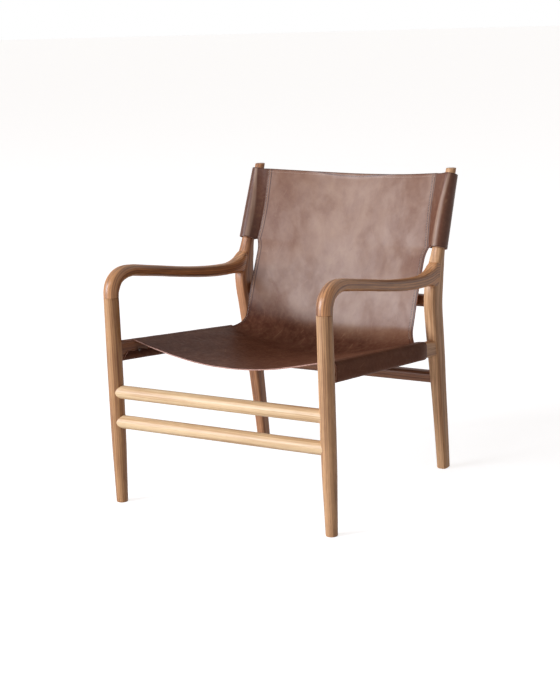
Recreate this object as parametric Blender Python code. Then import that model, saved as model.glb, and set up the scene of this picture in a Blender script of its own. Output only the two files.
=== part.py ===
"""Sling armchair: a round-legged hardwood frame that carries one hide as seat and back.

Metres, +Z up. The sitter faces -Y and +X is the sitter's left. Depths in the sizes
below are measured back from the axis of the front legs. At the end the whole chair
moves so that the middle of its footprint stands on the origin.
"""

import math

import bpy
from mathutils import Vector

# Whole chair
CHAIR_HEIGHT = 0.790
TOUCH_GAP = 0.0003
CUT_OVERRUN = 0.004

# Front legs: round, swelling at seat height and tapering to the floor
FRONT_LEG_SPACING = 0.616
FRONT_LEG_HEIGHT = 0.525
FRONT_LEG_THICK = 0.0375
FRONT_LEG_FOOT_THICK = 0.0278
FOOT_CHAMFER = 0.0025
FRONT_LEG_SWELL_SHARES = (
    (0.0, 0.0),
    (0.15, 0.38),
    (0.30, 0.75),
    (0.50, 0.95),
    (0.72, 1.0),
    (1.0, 0.88),
)

# Rear legs: one bent piece each, foot to post top, deepest at the knee behind the arm
REAR_FOOT_SPACING = 0.568
REAR_POST_SPACING = 0.590
REAR_FOOT_SETBACK = 0.623
KNEE_SETBACK = 0.5600
KNEE_HEIGHT = 0.500
KNEE_RADIUS = 0.240
LOWER_LEG_BOW = 0.0035
POST_TOP_SETBACK = 0.6706
REAR_LEG_WIDTH = 0.036
REAR_LEG_DEPTH = 0.058
# Squareness of a section: 0 is an ellipse, towards 1 it fills its rectangle
REAR_LEG_SQUARENESS_SHARE = 0.286
POST_SQUARENESS_SHARE = 0.0
LEAN_STEP_SHARE = 0.003
# Rows of height and how far the legs have moved apart from foot to post spacing
REAR_LEG_SPREAD_SHARES = ((0.0, 0.0), (0.53, 0.45), (0.66, 0.85), (1.0, 1.0))
# Rows of height, width, depth and how far the section has turned from square to round
REAR_LEG_SECTION_SHARES = (
    (0.0, 0.78, 0.58, 0.0),
    (0.30, 0.87, 0.72, 0.0),
    (0.40, 0.93, 0.81, 0.0),
    (0.51, 0.97, 0.90, 0.0),
    (0.62, 1.0, 1.0, 0.0),
    (0.69, 0.97, 0.80, 0.2),
    (0.735, 0.93, 0.62, 1.0),
    (0.80, 0.89, 0.58, 1.0),
    (1.0, 0.75, 0.465, 1.0),
)
POST_TOP_CHAMFER = 0.0015

# Arms: a bend up from the front leg, a slim arm and a flare into the rear post
ARM_BEND_RADIUS = 0.0605
ARM_BEND_REACH = 0.070
ARM_NECK = 0.001
ARM_DROP = 0.0626
ARM_WIDTH = 0.038
ARM_HEIGHT = 0.0266
ARM_FLARE_HEIGHT = 0.068
ARM_PROUD = 0.0004
ARM_HOUSING_SHARE = 0.65
ARM_NECK_RING_SHARE = 0.6
ARM_SQUARENESS_SHARE = 0.2
ARM_BEND_DEGREES = 99.0
ARM_BEND_STEPS = 7
# Rows of distance back to the post's front, drop, height between slim and flared,
# width between slim and flush with the post, squareness, and lean with the post
ARM_LINE_SHARES = (
    (0.170, 0.107, 0.027, 0.0, 0.20, 0.0),
    (0.342, 0.363, 0.005, 0.0, 0.20, 0.0),
    (0.532, 0.652, 0.005, 0.1, 0.20, 0.0),
    (0.702, 0.872, 0.043, 0.4, 0.20, 0.0),
    (0.823, 0.978, 0.072, 0.7, 0.20, 0.0),
    (0.894, 1.000, 0.082, 0.9, 0.26, 0.0),
    (0.944, 0.968, 0.244, 1.0, 0.33, 0.2),
    (0.980, 0.931, 0.481, 1.0, 0.43, 0.6),
    (1.010, 0.903, 0.903, 1.0, 0.50, 1.0),
)

# Seat rails: tapered bars between front and rear legs, wrapped by the hide
RAIL_THICK = 0.024
RAIL_FRONT_TALL = 0.0438
RAIL_REAR_TALL = 0.0400
RAIL_FRONT_HEIGHT = 0.3892
RAIL_REAR_HEIGHT = 0.3347
RAIL_CORNER = 0.007
RAIL_CORNER_STEPS = 2

# Round rods across the chair
RUNG_THICK = 0.0335
RUNG_LOW_HEIGHT = 0.2105
RUNG_HIGH_HEIGHT = 0.2871
RUNG_SQUARENESS_SHARE = 0.0
STRETCHER_THICK = 0.030
STRETCHER_SQUARENESS_SHARE = 0.333
STRETCHER_HEIGHT = 0.2535
BACK_RAIL_HEIGHT = 0.458
BACK_RAIL_BEHIND_AXIS = 0.013
TENON_THICK = 0.018
TENON_REACH = 0.020

# Hidden fixings
DOWEL_THICK = 0.010
DOWEL_LENGTH = 0.044
DOWEL_SPACING = 0.026
PIN_THICK = 0.005
PIN_PAST_TENON = 0.002
TACK_HEAD_THICK = 0.009
TACK_HEAD_DOME = 0.0025
TACK_SHANK_THICK = 0.002
TACK_LENGTH = 0.012
TACK_HEIGHT_SHARE = 0.62
# Rows of radius and height of the domed head
TACK_DOME_SHARES = ((0.94, 0.45), (0.60, 0.88), (0.18, 1.0))
TACKS_PER_RAIL = 5

# Hide: one piece, seat and back, looped round rails and posts
HIDE_THICK = 0.003
HIDE_FLATNESS_SHARE = 0.26
SEAT_SAG = 0.0435
SEAT_FRONT_SETBACK = 0.057
WRAP_FRONT_SETBACK = 0.030
SEAT_REAR_SETBACK = 0.478
WRAP_REAR_SETBACK = 0.499
WRAP_FLAP_RISE = 0.022
WRAP_TURN_SHARE = 0.3
CREASE_RADIUS = 0.035
CREASE_MIDDLE_RADIUS = 0.110
BACK_RAKE_SHARE = 0.406
BACK_EDGE_SETBACK = 0.5138
BACK_EDGE_HEIGHT = 0.386
BACK_EDGE_BOW = 0.003
BACK_BOW_LOW = 0.012
BACK_BOW_HIGH = 0.018
BACK_TOP_SAG = 0.010
BACK_WIDTH = 0.514
SLEEVE_BOTTOM_HEIGHT = 0.593
SLEEVE_TOP_HEIGHT = 0.777
SLEEVE_EASE = 0.001
SLEEVE_FLAP = 0.010
SLEEVE_FOOT_FLARE = 0.008
SLEEVE_ARC_DEGREES = 250.0

# How finely round things are faceted
LEG_SIDES = 20
ROD_SIDES = 16
DOWEL_SIDES = 10
SMALL_SIDES = 6
SEAT_ROWS = 6
CREASE_ROWS = 4
PANEL_ROWS = 4
SLEEVE_ROWS = 4
PANEL_COLUMNS = 12
SLEEVE_ARC_STEPS = 9
SMOOTH_BELOW_DEGREES = 40.0

SIDES = (("left", 1.0), ("right", -1.0))


# Plain helpers
def clear_scene():
    for thing in list(bpy.data.objects):
        bpy.data.objects.remove(thing, do_unlink=True)


def principled(name, color, roughness, metallic=0.0):
    material = bpy.data.materials.new(name)
    material.use_nodes = True
    shader = material.node_tree.nodes["Principled BSDF"]
    shader.inputs["Base Color"].default_value = (*color, 1.0)
    shader.inputs["Roughness"].default_value = roughness
    shader.inputs["Metallic"].default_value = metallic
    return material


def mix(first, last, share):
    return first + (last - first) * share


def from_table(table, at, column):
    """Reads a column of a table of shares at a place between its rows."""
    for low, high in zip(table, table[1:]):
        if at <= high[0]:
            break
    share = (at - low[0]) / (high[0] - low[0])
    return mix(low[column], high[column], max(share, 0.0))


def add_object(name, vertices, faces, material, origin=(0.0, 0.0, 0.0)):
    """A closed mesh whose own origin stands at the given point of the chair."""
    mesh = bpy.data.meshes.new(name)
    start = Vector(origin)
    mesh.from_pydata([Vector(v) - start for v in vertices], [], faces)
    mesh.validate()
    mesh.materials.append(material)
    mesh.shade_smooth()
    mesh.set_sharp_from_angle(angle=math.radians(SMOOTH_BELOW_DEGREES))
    made = bpy.data.objects.new(name, mesh)
    made.location = start
    bpy.context.scene.collection.objects.link(made)
    return made


def loft(name, rings, material, origin=(0.0, 0.0, 0.0)):
    """A solid through rings of points, closed by a flat face at each end."""
    count = len(rings[0])
    vertices = [point for ring in rings for point in ring]
    faces = [tuple(range(count))[::-1]]
    for row in range(len(rings) - 1):
        for i in range(count):
            j = (i + 1) % count
            low, high = row * count, (row + 1) * count
            faces.append((low + i, low + j, high + j, high + i))
    last = (len(rings) - 1) * count
    faces.append(tuple(last + i for i in range(count)))
    return add_object(name, vertices, faces, material, origin)


def section_ring(centre, across, up, half_across, half_up, squareness, sides):
    """Points of a rounded section. It runs anticlockwise from across towards up."""
    power = 2 / (1 - squareness)
    points = []
    for i in range(sides):
        angle = math.tau * (i + 0.5) / sides
        c, s = math.cos(angle), math.sin(angle)
        reach = (abs(c) ** power + abs(s) ** power) ** (-1 / power)
        point = Vector(centre) + Vector(across) * (c * reach * half_across)
        points.append(point + Vector(up) * (s * reach * half_up))
    return points


def rod_between(name, start, end, thick, material, sides=ROD_SIDES):
    """A plain round rod from one point to another."""
    start, end = Vector(start), Vector(end)
    along = (end - start).normalized()
    turn = along.to_track_quat("Z", "Y")
    across, up = turn @ Vector((1, 0, 0)), turn @ Vector((0, 1, 0))
    half = thick / 2
    rings = [section_ring(p, across, up, half, half, 0.0, sides) for p in (start, end)]
    return loft(name, rings, material, start)


def as_cutter(tool):
    tool.hide_render = True
    tool.display_type = "WIRE"
    return tool


def combine(target, tool, operation):
    step = target.modifiers.new(f"{operation.lower()} {tool.name}", "BOOLEAN")
    step.object = tool
    step.operation = operation
    step.solver = "EXACT"


def bore(target, start, end, thick, sides=DOWEL_SIDES):
    """A round hole with the touching gap all round what goes in it."""
    name = f"{target.name} bore {len(target.modifiers)}"
    width = thick + 2 * TOUCH_GAP
    tool = rod_between(name, start, end, width, target.data.materials[0], sides)
    combine(target, as_cutter(tool), "DIFFERENCE")


# Front legs
def front_leg_half(height):
    share = from_table(FRONT_LEG_SWELL_SHARES, height / FRONT_LEG_HEIGHT, 1)
    return mix(FRONT_LEG_FOOT_THICK, FRONT_LEG_THICK, share) / 2


def front_leg_point(side, height):
    return Vector((side * FRONT_LEG_SPACING / 2, 0.0, height))


def front_leg_rings(side, extra=0.0):
    """Rings up the leg. With an extra thickness it is the cutter for what meets it."""
    heights = [FRONT_LEG_HEIGHT * row[0] for row in FRONT_LEG_SWELL_SHARES]
    halves = [front_leg_half(height) for height in heights]
    heights.insert(1, FOOT_CHAMFER)
    halves.insert(1, front_leg_half(FOOT_CHAMFER))
    halves[0] -= FOOT_CHAMFER
    if extra:
        heights[0] -= CUT_OVERRUN
        heights[-1] += CUT_OVERRUN
    return [
        section_ring(
            front_leg_point(side, height),
            (1, 0, 0),
            (0, 1, 0),
            half + extra,
            half + extra,
            0.0,
            LEG_SIDES,
        )
        for height, half in zip(heights, halves)
    ]


# Rear legs
def rear_leg_depth_at(height):
    """Depth of the leg's centre line: two straight runs joined by an arc at the knee."""
    low_slope = (KNEE_SETBACK - REAR_FOOT_SETBACK) / KNEE_HEIGHT
    high_slope = (POST_TOP_SETBACK - KNEE_SETBACK) / (CHAIR_HEIGHT - KNEE_HEIGHT)
    turn = (math.atan(high_slope) - math.atan(low_slope)) / 2
    reach = KNEE_RADIUS * math.tan(turn)
    start = KNEE_HEIGHT - reach * math.cos(math.atan(low_slope))
    end = KNEE_HEIGHT + reach * math.cos(math.atan(high_slope))
    up = min(height / KNEE_HEIGHT, 1.0)
    bow = LOWER_LEG_BOW * 4 * up * (1 - up)
    if height <= start:
        return KNEE_SETBACK + low_slope * (height - KNEE_HEIGHT) + bow
    if height >= end:
        return KNEE_SETBACK + high_slope * (height - KNEE_HEIGHT)
    # Inside the bend the slope grows steadily, which is an arc to well under 0.1 mm
    share = (height - start) / (end - start)
    begin = KNEE_SETBACK + low_slope * (start - KNEE_HEIGHT)
    gained = low_slope * share + (high_slope - low_slope) * share * share / 2
    return begin + (end - start) * gained + bow


def rear_leg_point(side, height):
    spread = from_table(REAR_LEG_SPREAD_SHARES, height / CHAIR_HEIGHT, 1)
    spacing = mix(REAR_FOOT_SPACING, REAR_POST_SPACING, spread)
    return Vector((side * spacing / 2, rear_leg_depth_at(height), height))


def rear_leg_halves(height):
    share = height / CHAIR_HEIGHT
    width = REAR_LEG_WIDTH * from_table(REAR_LEG_SECTION_SHARES, share, 1)
    depth = REAR_LEG_DEPTH * from_table(REAR_LEG_SECTION_SHARES, share, 2)
    return width / 2, depth / 2


def rear_leg_ring(side, height, extra=0.0):
    half_width, half_depth = rear_leg_halves(height)
    roundness = from_table(REAR_LEG_SECTION_SHARES, height / CHAIR_HEIGHT, 3)
    return section_ring(
        rear_leg_point(side, height),
        (1, 0, 0),
        (0, 1, 0),
        half_width + extra,
        half_depth + extra,
        mix(REAR_LEG_SQUARENESS_SHARE, POST_SQUARENESS_SHARE, roundness),
        LEG_SIDES,
    )


def rear_leg_rings(side, extra=0.0):
    knots = [row[0] * CHAIR_HEIGHT for row in REAR_LEG_SECTION_SHARES]
    heights = sorted(knots + [mix(a, b, 0.5) for a, b in zip(knots[3:6], knots[4:7])])
    rings = [rear_leg_ring(side, height, extra) for height in heights]
    chamfered = rear_leg_ring(side, FOOT_CHAMFER, extra)
    rings.insert(1, chamfered)
    rings[0] = rear_leg_ring(side, 0.0, extra - FOOT_CHAMFER)
    top = rear_leg_ring(side, CHAIR_HEIGHT - POST_TOP_CHAMFER, extra)
    rings.insert(len(rings) - 1, top)
    rings[-1] = rear_leg_ring(side, CHAIR_HEIGHT, extra - POST_TOP_CHAMFER)
    return rings


def post_front_depth(height):
    return rear_leg_depth_at(height) - rear_leg_halves(height)[1]


def post_lean(height):
    """Angle in degrees at which the post leans back."""
    step = CHAIR_HEIGHT * LEAN_STEP_SHARE
    rise = rear_leg_depth_at(height + step) - rear_leg_depth_at(height - step)
    return math.degrees(math.atan(rise / (2 * step)))


# Arms
def arm_line_height(drop_share):
    top = FRONT_LEG_HEIGHT + ARM_NECK + ARM_BEND_RADIUS
    return top - ARM_DROP * drop_share


def arm_rear_height():
    """Height of the arm's line where it meets the post."""
    return arm_line_height(ARM_LINE_SHARES[-1][1])


def arm_end_depth():
    """Depth of the arm's flat end, which is housed in the front of the post."""
    height = arm_rear_height()
    housed = rear_leg_halves(height)[1] * ARM_HOUSING_SHARE
    return post_front_depth(height) + housed


def arm_bend_rows():
    """Rows of depth, height, direction, half width, half height and squareness."""
    base = FRONT_LEG_HEIGHT + TOUCH_GAP
    half = front_leg_half(FRONT_LEG_HEIGHT)
    bend_height = FRONT_LEG_HEIGHT + ARM_NECK
    neck = mix(base, bend_height, ARM_NECK_RING_SHARE)
    rows = [(0.0, height, 90.0, half, half, 0.0) for height in (base, neck)]
    for i in range(1, ARM_BEND_STEPS + 1):
        share = i / ARM_BEND_STEPS
        turned = math.radians(ARM_BEND_DEGREES * share)
        depth = ARM_BEND_REACH * (1 - math.cos(turned))
        height = bend_height + ARM_BEND_RADIUS * math.sin(turned)
        half_width = mix(half, ARM_WIDTH / 2, share)
        half_height = mix(half, ARM_HEIGHT / 2, share**1.5)
        rise = ARM_BEND_RADIUS * math.cos(turned)
        way = math.degrees(math.atan2(rise, ARM_BEND_REACH * math.sin(turned)))
        squareness = ARM_SQUARENESS_SHARE * share
        rows.append((depth, height, way, half_width, half_height, squareness))
    return rows


def arm_line_rows(before):
    """Rows as above from the bend to the flat end. before is the bend's last row."""
    rear_height = arm_rear_height()
    rear = post_front_depth(rear_height)
    flush = rear_leg_halves(rear_height)[0] + ARM_PROUD
    lean = -post_lean(rear_height)
    points = [(rear * row[0], arm_line_height(row[1])) for row in ARM_LINE_SHARES]
    rows = []
    for i, (_, _, flare, widened, squareness, leaning) in enumerate(ARM_LINE_SHARES):
        last = points[i - 1] if i else before[:2]
        coming = points[min(i + 1, len(points) - 1)]
        slope = math.degrees(math.atan2(coming[1] - last[1], coming[0] - last[0]))
        half_width = mix(ARM_WIDTH / 2, flush, widened)
        half_height = mix(ARM_HEIGHT, ARM_FLARE_HEIGHT, flare) / 2
        way = mix(slope, lean, leaning)
        rows.append((*points[i], way, half_width, half_height, squareness))
    end = (arm_end_depth(), rear_height, lean, flush, ARM_FLARE_HEIGHT / 2)
    return rows + [(*end, ARM_LINE_SHARES[-1][4])]


def arm_side(depth):
    """Distance from the middle plane to the arm's line."""
    share = depth / post_front_depth(arm_rear_height())
    return mix(FRONT_LEG_SPACING, REAR_POST_SPACING, min(share, 1.0)) / 2


def arm_ring(side, row, extra=0.0):
    depth, height, way, half_width, half_height, squareness = row
    angle = math.radians(way)
    return section_ring(
        (side * arm_side(depth), depth, height),
        (-1, 0, 0),
        (0.0, -math.sin(angle), math.cos(angle)),
        half_width + extra,
        half_height + extra,
        squareness,
        LEG_SIDES,
    )


def make_arm(side_name, side, wood, rear_leg):
    """The arm, and the housing for its end in the rear leg."""
    bend = arm_bend_rows()
    line = arm_line_rows(bend[-1])
    rings = [arm_ring(side, row) for row in bend + line]
    origin = front_leg_point(side, FRONT_LEG_HEIGHT)
    arm = loft(f"armrest_{side_name}", rings, wood, origin)
    housing = [arm_ring(side, row, TOUCH_GAP) for row in line[-5:]]
    along = Vector((0.0, math.cos(math.radians(line[-1][2])), 0.0))
    along.z = math.sin(math.radians(line[-1][2]))
    housing[-1] = [point + along * TOUCH_GAP for point in housing[-1]]
    cutter = loft(f"housing for {arm.name}", housing, wood)
    combine(rear_leg, as_cutter(cutter), "DIFFERENCE")
    return arm


# Seat rails
def rail_share(depth):
    return depth / rear_leg_depth_at(RAIL_REAR_HEIGHT)


def rail_centre(side, depth):
    share = rail_share(depth)
    rear_side = rear_leg_point(1.0, RAIL_REAR_HEIGHT).x
    across = mix(FRONT_LEG_SPACING / 2, rear_side, share)
    height = mix(RAIL_FRONT_HEIGHT, RAIL_REAR_HEIGHT, share)
    return Vector((side * across, depth, height))


def rail_half_tall(depth):
    return mix(RAIL_FRONT_TALL, RAIL_REAR_TALL, rail_share(depth)) / 2


def rail_outline(side, depth, first_degrees, corners, offset):
    """Points round the rail, from the top inner corner over the top and outwards.

    first_degrees is where on the first corner it starts, corners is how many corners
    it goes round, and offset is its distance from the wood.
    """
    centre = rail_centre(side, depth)
    half_thick, half_tall = RAIL_THICK / 2, rail_half_tall(depth)
    signs = ((-1, 1), (1, 1), (1, -1), (-1, -1))
    points = []
    for number, (outwards, upwards) in enumerate(signs[:corners]):
        begin = 180.0 - 90.0 * number
        for step in range(RAIL_CORNER_STEPS + 1):
            degrees = begin - 90.0 * step / RAIL_CORNER_STEPS
            if number == 0 and degrees > first_degrees:
                continue
            points.append(
                rail_corner_point(
                    centre, side, outwards, upwards, half_thick, half_tall, degrees, offset
                )
            )
    return points


def rail_corner_point(
    centre, side, outwards, upwards, half_thick, half_tall, degrees, offset
):
    reach = RAIL_CORNER + offset
    across = outwards * (half_thick - RAIL_CORNER) + reach * math.cos(
        math.radians(degrees)
    )
    rise = upwards * (half_tall - RAIL_CORNER) + reach * math.sin(math.radians(degrees))
    return centre + Vector((side * across, 0.0, rise))


def make_rail(side_name, side, wood):
    rear = rear_leg_depth_at(RAIL_REAR_HEIGHT)
    rings = [rail_outline(side, depth, 180.0, 4, 0.0) for depth in (0.0, rear)]
    if side < 0:
        rings = [ring[::-1] for ring in rings]
    rail = loft(f"seat_rail_{side_name}", rings, wood, rail_centre(side, 0.0))
    front = loft(
        f"leg round seat_rail_{side_name}", front_leg_rings(side, TOUCH_GAP), wood
    )
    back = loft(
        f"post round seat_rail_{side_name}", rear_leg_rings(side, TOUCH_GAP), wood
    )
    combine(rail, as_cutter(front), "DIFFERENCE")
    combine(rail, as_cutter(back), "DIFFERENCE")
    return rail


def rail_tenon_ends(side):
    """The front tenon and the rear tenon, each from deep in its leg to inside the rail."""
    rear = rear_leg_depth_at(RAIL_REAR_HEIGHT)
    front_half = front_leg_half(RAIL_FRONT_HEIGHT)
    rear_half = rear_leg_halves(RAIL_REAR_HEIGHT)[1]
    ends = []
    for inner, outer in (
        (front_half - TENON_REACH, front_half + TENON_REACH),
        (rear - rear_half + TENON_REACH, rear - rear_half - TENON_REACH),
    ):
        ends.append((rail_centre(side, inner), rail_centre(side, outer)))
    return ends


# Rods across the chair
def make_rod(name, leg_rings, leg_point, leg_half_width, thick, squareness, wood):
    """A rod between two legs, coped to them, with a round tenon into each."""
    rings = [
        section_ring(
            leg_point(side),
            (0, 1, 0),
            (0, 0, 1),
            thick / 2,
            thick / 2,
            squareness,
            ROD_SIDES,
        )
        for side in (-1.0, 1.0)
    ]
    rod = loft(name, rings, wood, leg_point(-1.0))
    for side_name, side in SIDES:
        leg = loft(f"{side_name} leg round {name}", leg_rings(side, TOUCH_GAP), wood)
        combine(rod, as_cutter(leg), "DIFFERENCE")
    for side_name, side in SIDES:
        tip, root = rod_tenon_ends(leg_point(side), side, leg_half_width)
        tenon = rod_between(f"{name} tenon {side_name}", tip, root, TENON_THICK, wood)
        combine(rod, as_cutter(tenon), "UNION")
    return rod


def rod_tenon_ends(point, side, leg_half_width):
    inner_face = abs(point.x) - leg_half_width
    tip = Vector((side * (inner_face + TENON_REACH), point.y, point.z))
    root = Vector((side * (inner_face - TENON_REACH), point.y, point.z))
    return tip, root


def bore_for_tenon(leg, tip, root):
    """The mortise is one touching gap deeper than the tenon."""
    away = (tip - root).normalized()
    bore(leg, tip + away * TOUCH_GAP, root, TENON_THICK, ROD_SIDES)


def back_rail_point(side):
    point = rear_leg_point(side, BACK_RAIL_HEIGHT)
    return point + Vector((0.0, BACK_RAIL_BEHIND_AXIS, 0.0))


# Hide
def hang(across_share):
    """How far the hide hangs between its edges, from 0 at an edge to 1 in the middle."""
    arch = 1 - across_share**2
    swing = (1 + math.cos(math.pi * across_share)) / 2
    return mix(arch, swing, HIDE_FLATNESS_SHARE)


def sag_angle():
    """Angle in degrees at which the seat leaves the rail."""
    half_width = FRONT_LEG_SPACING / 2 - RAIL_THICK / 2
    return math.degrees(math.atan(2 * (1 - HIDE_FLATNESS_SHARE) * SEAT_SAG / half_width))


def seat_edge(depth):
    """Distance from the middle and height at which the hide leaves the rail."""
    offset = TOUCH_GAP + HIDE_THICK / 2
    point = rail_corner_point(
        rail_centre(1.0, depth),
        1.0,
        -1,
        1,
        RAIL_THICK / 2,
        rail_half_tall(depth),
        90.0 + sag_angle(),
        offset,
    )
    return point.x, point.z


def wrap_points(side, depth, outer_depth):
    """The hide over the rail, down its outer face, under it and up its inner face."""
    offset = TOUCH_GAP + HIDE_THICK / 2
    points = rail_outline(side, outer_depth, 90.0, 4, offset)
    flap = points[-1] + Vector((0.0, 0.0, WRAP_FLAP_RISE))
    corner_depth = mix(depth, outer_depth, WRAP_TURN_SHARE)
    points[0] = rail_outline(side, corner_depth, 90.0, 1, offset)[0]
    return points + [flap]


def back_edge_depth(height):
    """Depth of the back's edge: a straight line that bows a little towards the sitter."""
    share = (height - BACK_EDGE_HEIGHT) / (SLEEVE_BOTTOM_HEIGHT - BACK_EDGE_HEIGHT)
    bow = BACK_EDGE_BOW * 4 * share * (1 - share) if 0 < share < 1 else 0.0
    return BACK_EDGE_SETBACK + BACK_RAKE_SHARE * (height - BACK_EDGE_HEIGHT) - bow


def profile(lowered, set_back, radius):
    """Depths and heights of the hide's rows up to the foot of the back.

    lowered is how far it hangs below the rails' line and set_back how far it stands
    behind the back's line. radius rounds the crease where the two lines meet.
    """
    front = SEAT_FRONT_SETBACK
    front_height = seat_edge(front)[1]
    slope = (seat_edge(SEAT_REAR_SETBACK)[1] - front_height) / (
        SEAT_REAR_SETBACK - front
    )
    front_height -= lowered
    seat_way = math.atan(slope)
    back_way = math.pi / 2 - math.atan(BACK_RAKE_SHARE)
    # Where the line of the seat would meet the line of the back
    gap = BACK_EDGE_SETBACK + set_back + BACK_RAKE_SHARE * (front_height - BACK_EDGE_HEIGHT)
    depth = (gap - BACK_RAKE_SHARE * slope * front) / (1 - BACK_RAKE_SHARE * slope)
    corner = Vector((depth, front_height + slope * (depth - front)))
    along_seat = Vector((math.cos(seat_way), math.sin(seat_way)))
    begin = corner - along_seat * radius * math.tan((back_way - seat_way) / 2)
    hub = begin + Vector((-along_seat.y, along_seat.x)) * radius
    rows = []
    for i in range(SEAT_ROWS):
        depth = mix(front, begin.x, i / SEAT_ROWS)
        rows.append(Vector((depth, front_height + slope * (depth - front))))
    for i in range(CREASE_ROWS + 1):
        way = mix(seat_way, back_way, i / CREASE_ROWS)
        rows.append(hub + Vector((math.sin(way), -math.cos(way))) * radius)
    return rows


def hide_rows():
    """Rows from the seat's front edge to the top of the back.

    Each row is its kind, its edge as depth and height, its middle as depth and
    height, and half its width.
    """
    edge = profile(0.0, 0.0, CREASE_RADIUS)
    middle = profile(SEAT_SAG, BACK_BOW_LOW, CREASE_MIDDLE_RADIUS)
    panel_half = BACK_WIDTH / 2
    rows = []
    for i, (at_edge, at_middle) in enumerate(zip(edge, middle)):
        kind = "seat" if i <= SEAT_ROWS else "panel"
        if i <= SEAT_ROWS:
            half = seat_edge(at_edge.x)[0]
        else:
            turned = math.sin((i - SEAT_ROWS) / CREASE_ROWS * math.pi / 2)
            half = mix(seat_edge(edge[SEAT_ROWS].x)[0], panel_half, turned)
        rows.append((kind, at_edge, at_middle, half))
    low_edge, low_middle = edge[-1].y, middle[-1].y
    for i in range(1, PANEL_ROWS + SLEEVE_ROWS + 1):
        if i <= PANEL_ROWS:
            height = mix(low_edge, SLEEVE_BOTTOM_HEIGHT, i / PANEL_ROWS)
        else:
            share = (i - PANEL_ROWS) / SLEEVE_ROWS
            height = mix(SLEEVE_BOTTOM_HEIGHT, SLEEVE_TOP_HEIGHT, share)
        climbed = (height - low_edge) / (SLEEVE_TOP_HEIGHT - low_edge)
        middle_height = mix(low_middle, SLEEVE_TOP_HEIGHT - BACK_TOP_SAG, climbed)
        bow = mix(BACK_BOW_LOW, BACK_BOW_HIGH, climbed)
        line = BACK_EDGE_SETBACK + BACK_RAKE_SHARE * (middle_height - BACK_EDGE_HEIGHT)
        rows.append(
            (
                "sleeve" if i >= PANEL_ROWS else "panel",
                Vector((back_edge_depth(height), height)),
                Vector((line + bow, middle_height)),
                panel_half + (SLEEVE_FOOT_FLARE if i == PANEL_ROWS else 0.0),
            )
        )
    return rows


def panel_point(row, across_share):
    """A point of the hide between its two edges."""
    _, edge, middle, half = row
    point = edge.lerp(middle, hang(across_share))
    return Vector((half * across_share, point.x, point.y))


def sleeve_points(side, row):
    """The hide round a post: a tangent, an arc, a tangent back and a sewn flap."""
    _, (depth, height), _, half = row
    post = rear_leg_point(1.0, height)
    clear = max(rear_leg_halves(height)) + TOUCH_GAP + SLEEVE_EASE
    facet = math.radians(SLEEVE_ARC_DEGREES) / SLEEVE_ARC_STEPS
    radius = clear / math.cos(facet / 2) + HIDE_THICK / 2
    layer = HIDE_THICK + TOUCH_GAP
    angles = []
    for lean, start in ((-1.0, (half, depth)), (1.0, (half, depth + layer))):
        across, back = post.x - start[0], post.y - start[1]
        opening = math.asin(min(radius / math.hypot(across, back), 1.0))
        angles.append(math.atan2(back, across) + lean * (opening + math.pi / 2))
    points = []
    for i in range(SLEEVE_ARC_STEPS + 1):
        angle = mix(angles[0], angles[1], i / SLEEVE_ARC_STEPS)
        across = post.x + radius * math.cos(angle)
        back = post.y + radius * math.sin(angle)
        points.append(Vector((side * across, back, height)))
    points.append(Vector((side * half, depth + layer, height)))
    flap = panel_point(row, (half - SLEEVE_FLAP) / half)
    points.append(Vector((side * flap.x, flap.y + layer, height)))
    return points


def make_hide(leather):
    rows = hide_rows()
    vertices, faces, index = [], [], {}

    def add(key, point):
        index[key] = len(vertices)
        vertices.append(point)

    half_columns = PANEL_COLUMNS // 2
    for r, row in enumerate(rows):
        for c in range(-half_columns, half_columns + 1):
            add(("panel", 0, r, c), panel_point(row, c / half_columns))
        for _, side in SIDES:
            extra = []
            if row[0] == "seat":
                share = r / SEAT_ROWS
                outer = mix(WRAP_FRONT_SETBACK, WRAP_REAR_SETBACK, share)
                extra = wrap_points(side, row[1].x, outer)
            elif row[0] == "sleeve":
                extra = sleeve_points(side, row)
            edge = vertices[index[("panel", 0, r, int(side) * half_columns)]]
            for k, point in enumerate([edge] + extra):
                if k:
                    add((row[0], side, r, k), point)
                elif extra:
                    index[(row[0], side, r, 0)] = index[
                        ("panel", 0, r, int(side) * half_columns)
                    ]
    for kind, side, r, c in list(index):
        corners = [(kind, side, r, c), (kind, side, r, c + 1)]
        corners += [(kind, side, r + 1, c + 1), (kind, side, r + 1, c)]
        if all(corner in index for corner in corners):
            face = tuple(index[corner] for corner in corners)
            faces.append(face if side >= 0 else face[::-1])
    hide = add_object("leather_sling", vertices, faces, leather)
    thicken = hide.modifiers.new("hide thickness", "SOLIDIFY")
    thicken.thickness = HIDE_THICK
    thicken.offset = 0.0
    return hide


# Fixings
def make_dowel(name, middle, way, wood, holes):
    half = Vector(way) * (DOWEL_LENGTH / 2)
    dowel = rod_between(name, middle - half, middle + half, DOWEL_THICK, wood, DOWEL_SIDES)
    longer = half + Vector(way) * TOUCH_GAP
    for target in holes:
        bore(target, middle - longer, middle + longer, DOWEL_THICK)
    return dowel


def make_pin(name, side, wood, holes):
    """A pin through the rear leg's front face that locks the stretcher's tenon."""
    point = rear_leg_point(side, STRETCHER_HEIGHT)
    start = Vector((point.x, post_front_depth(STRETCHER_HEIGHT), STRETCHER_HEIGHT))
    end = point + Vector((0.0, TENON_THICK / 2 + PIN_PAST_TENON, 0.0))
    pin = rod_between(name, start, end, PIN_THICK, wood, DOWEL_SIDES)
    before = start - Vector((0.0, CUT_OVERRUN, 0.0))
    after = end + Vector((0.0, TOUCH_GAP, 0.0))
    for target in holes:
        bore(target, before, after, PIN_THICK)
    return pin


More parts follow.
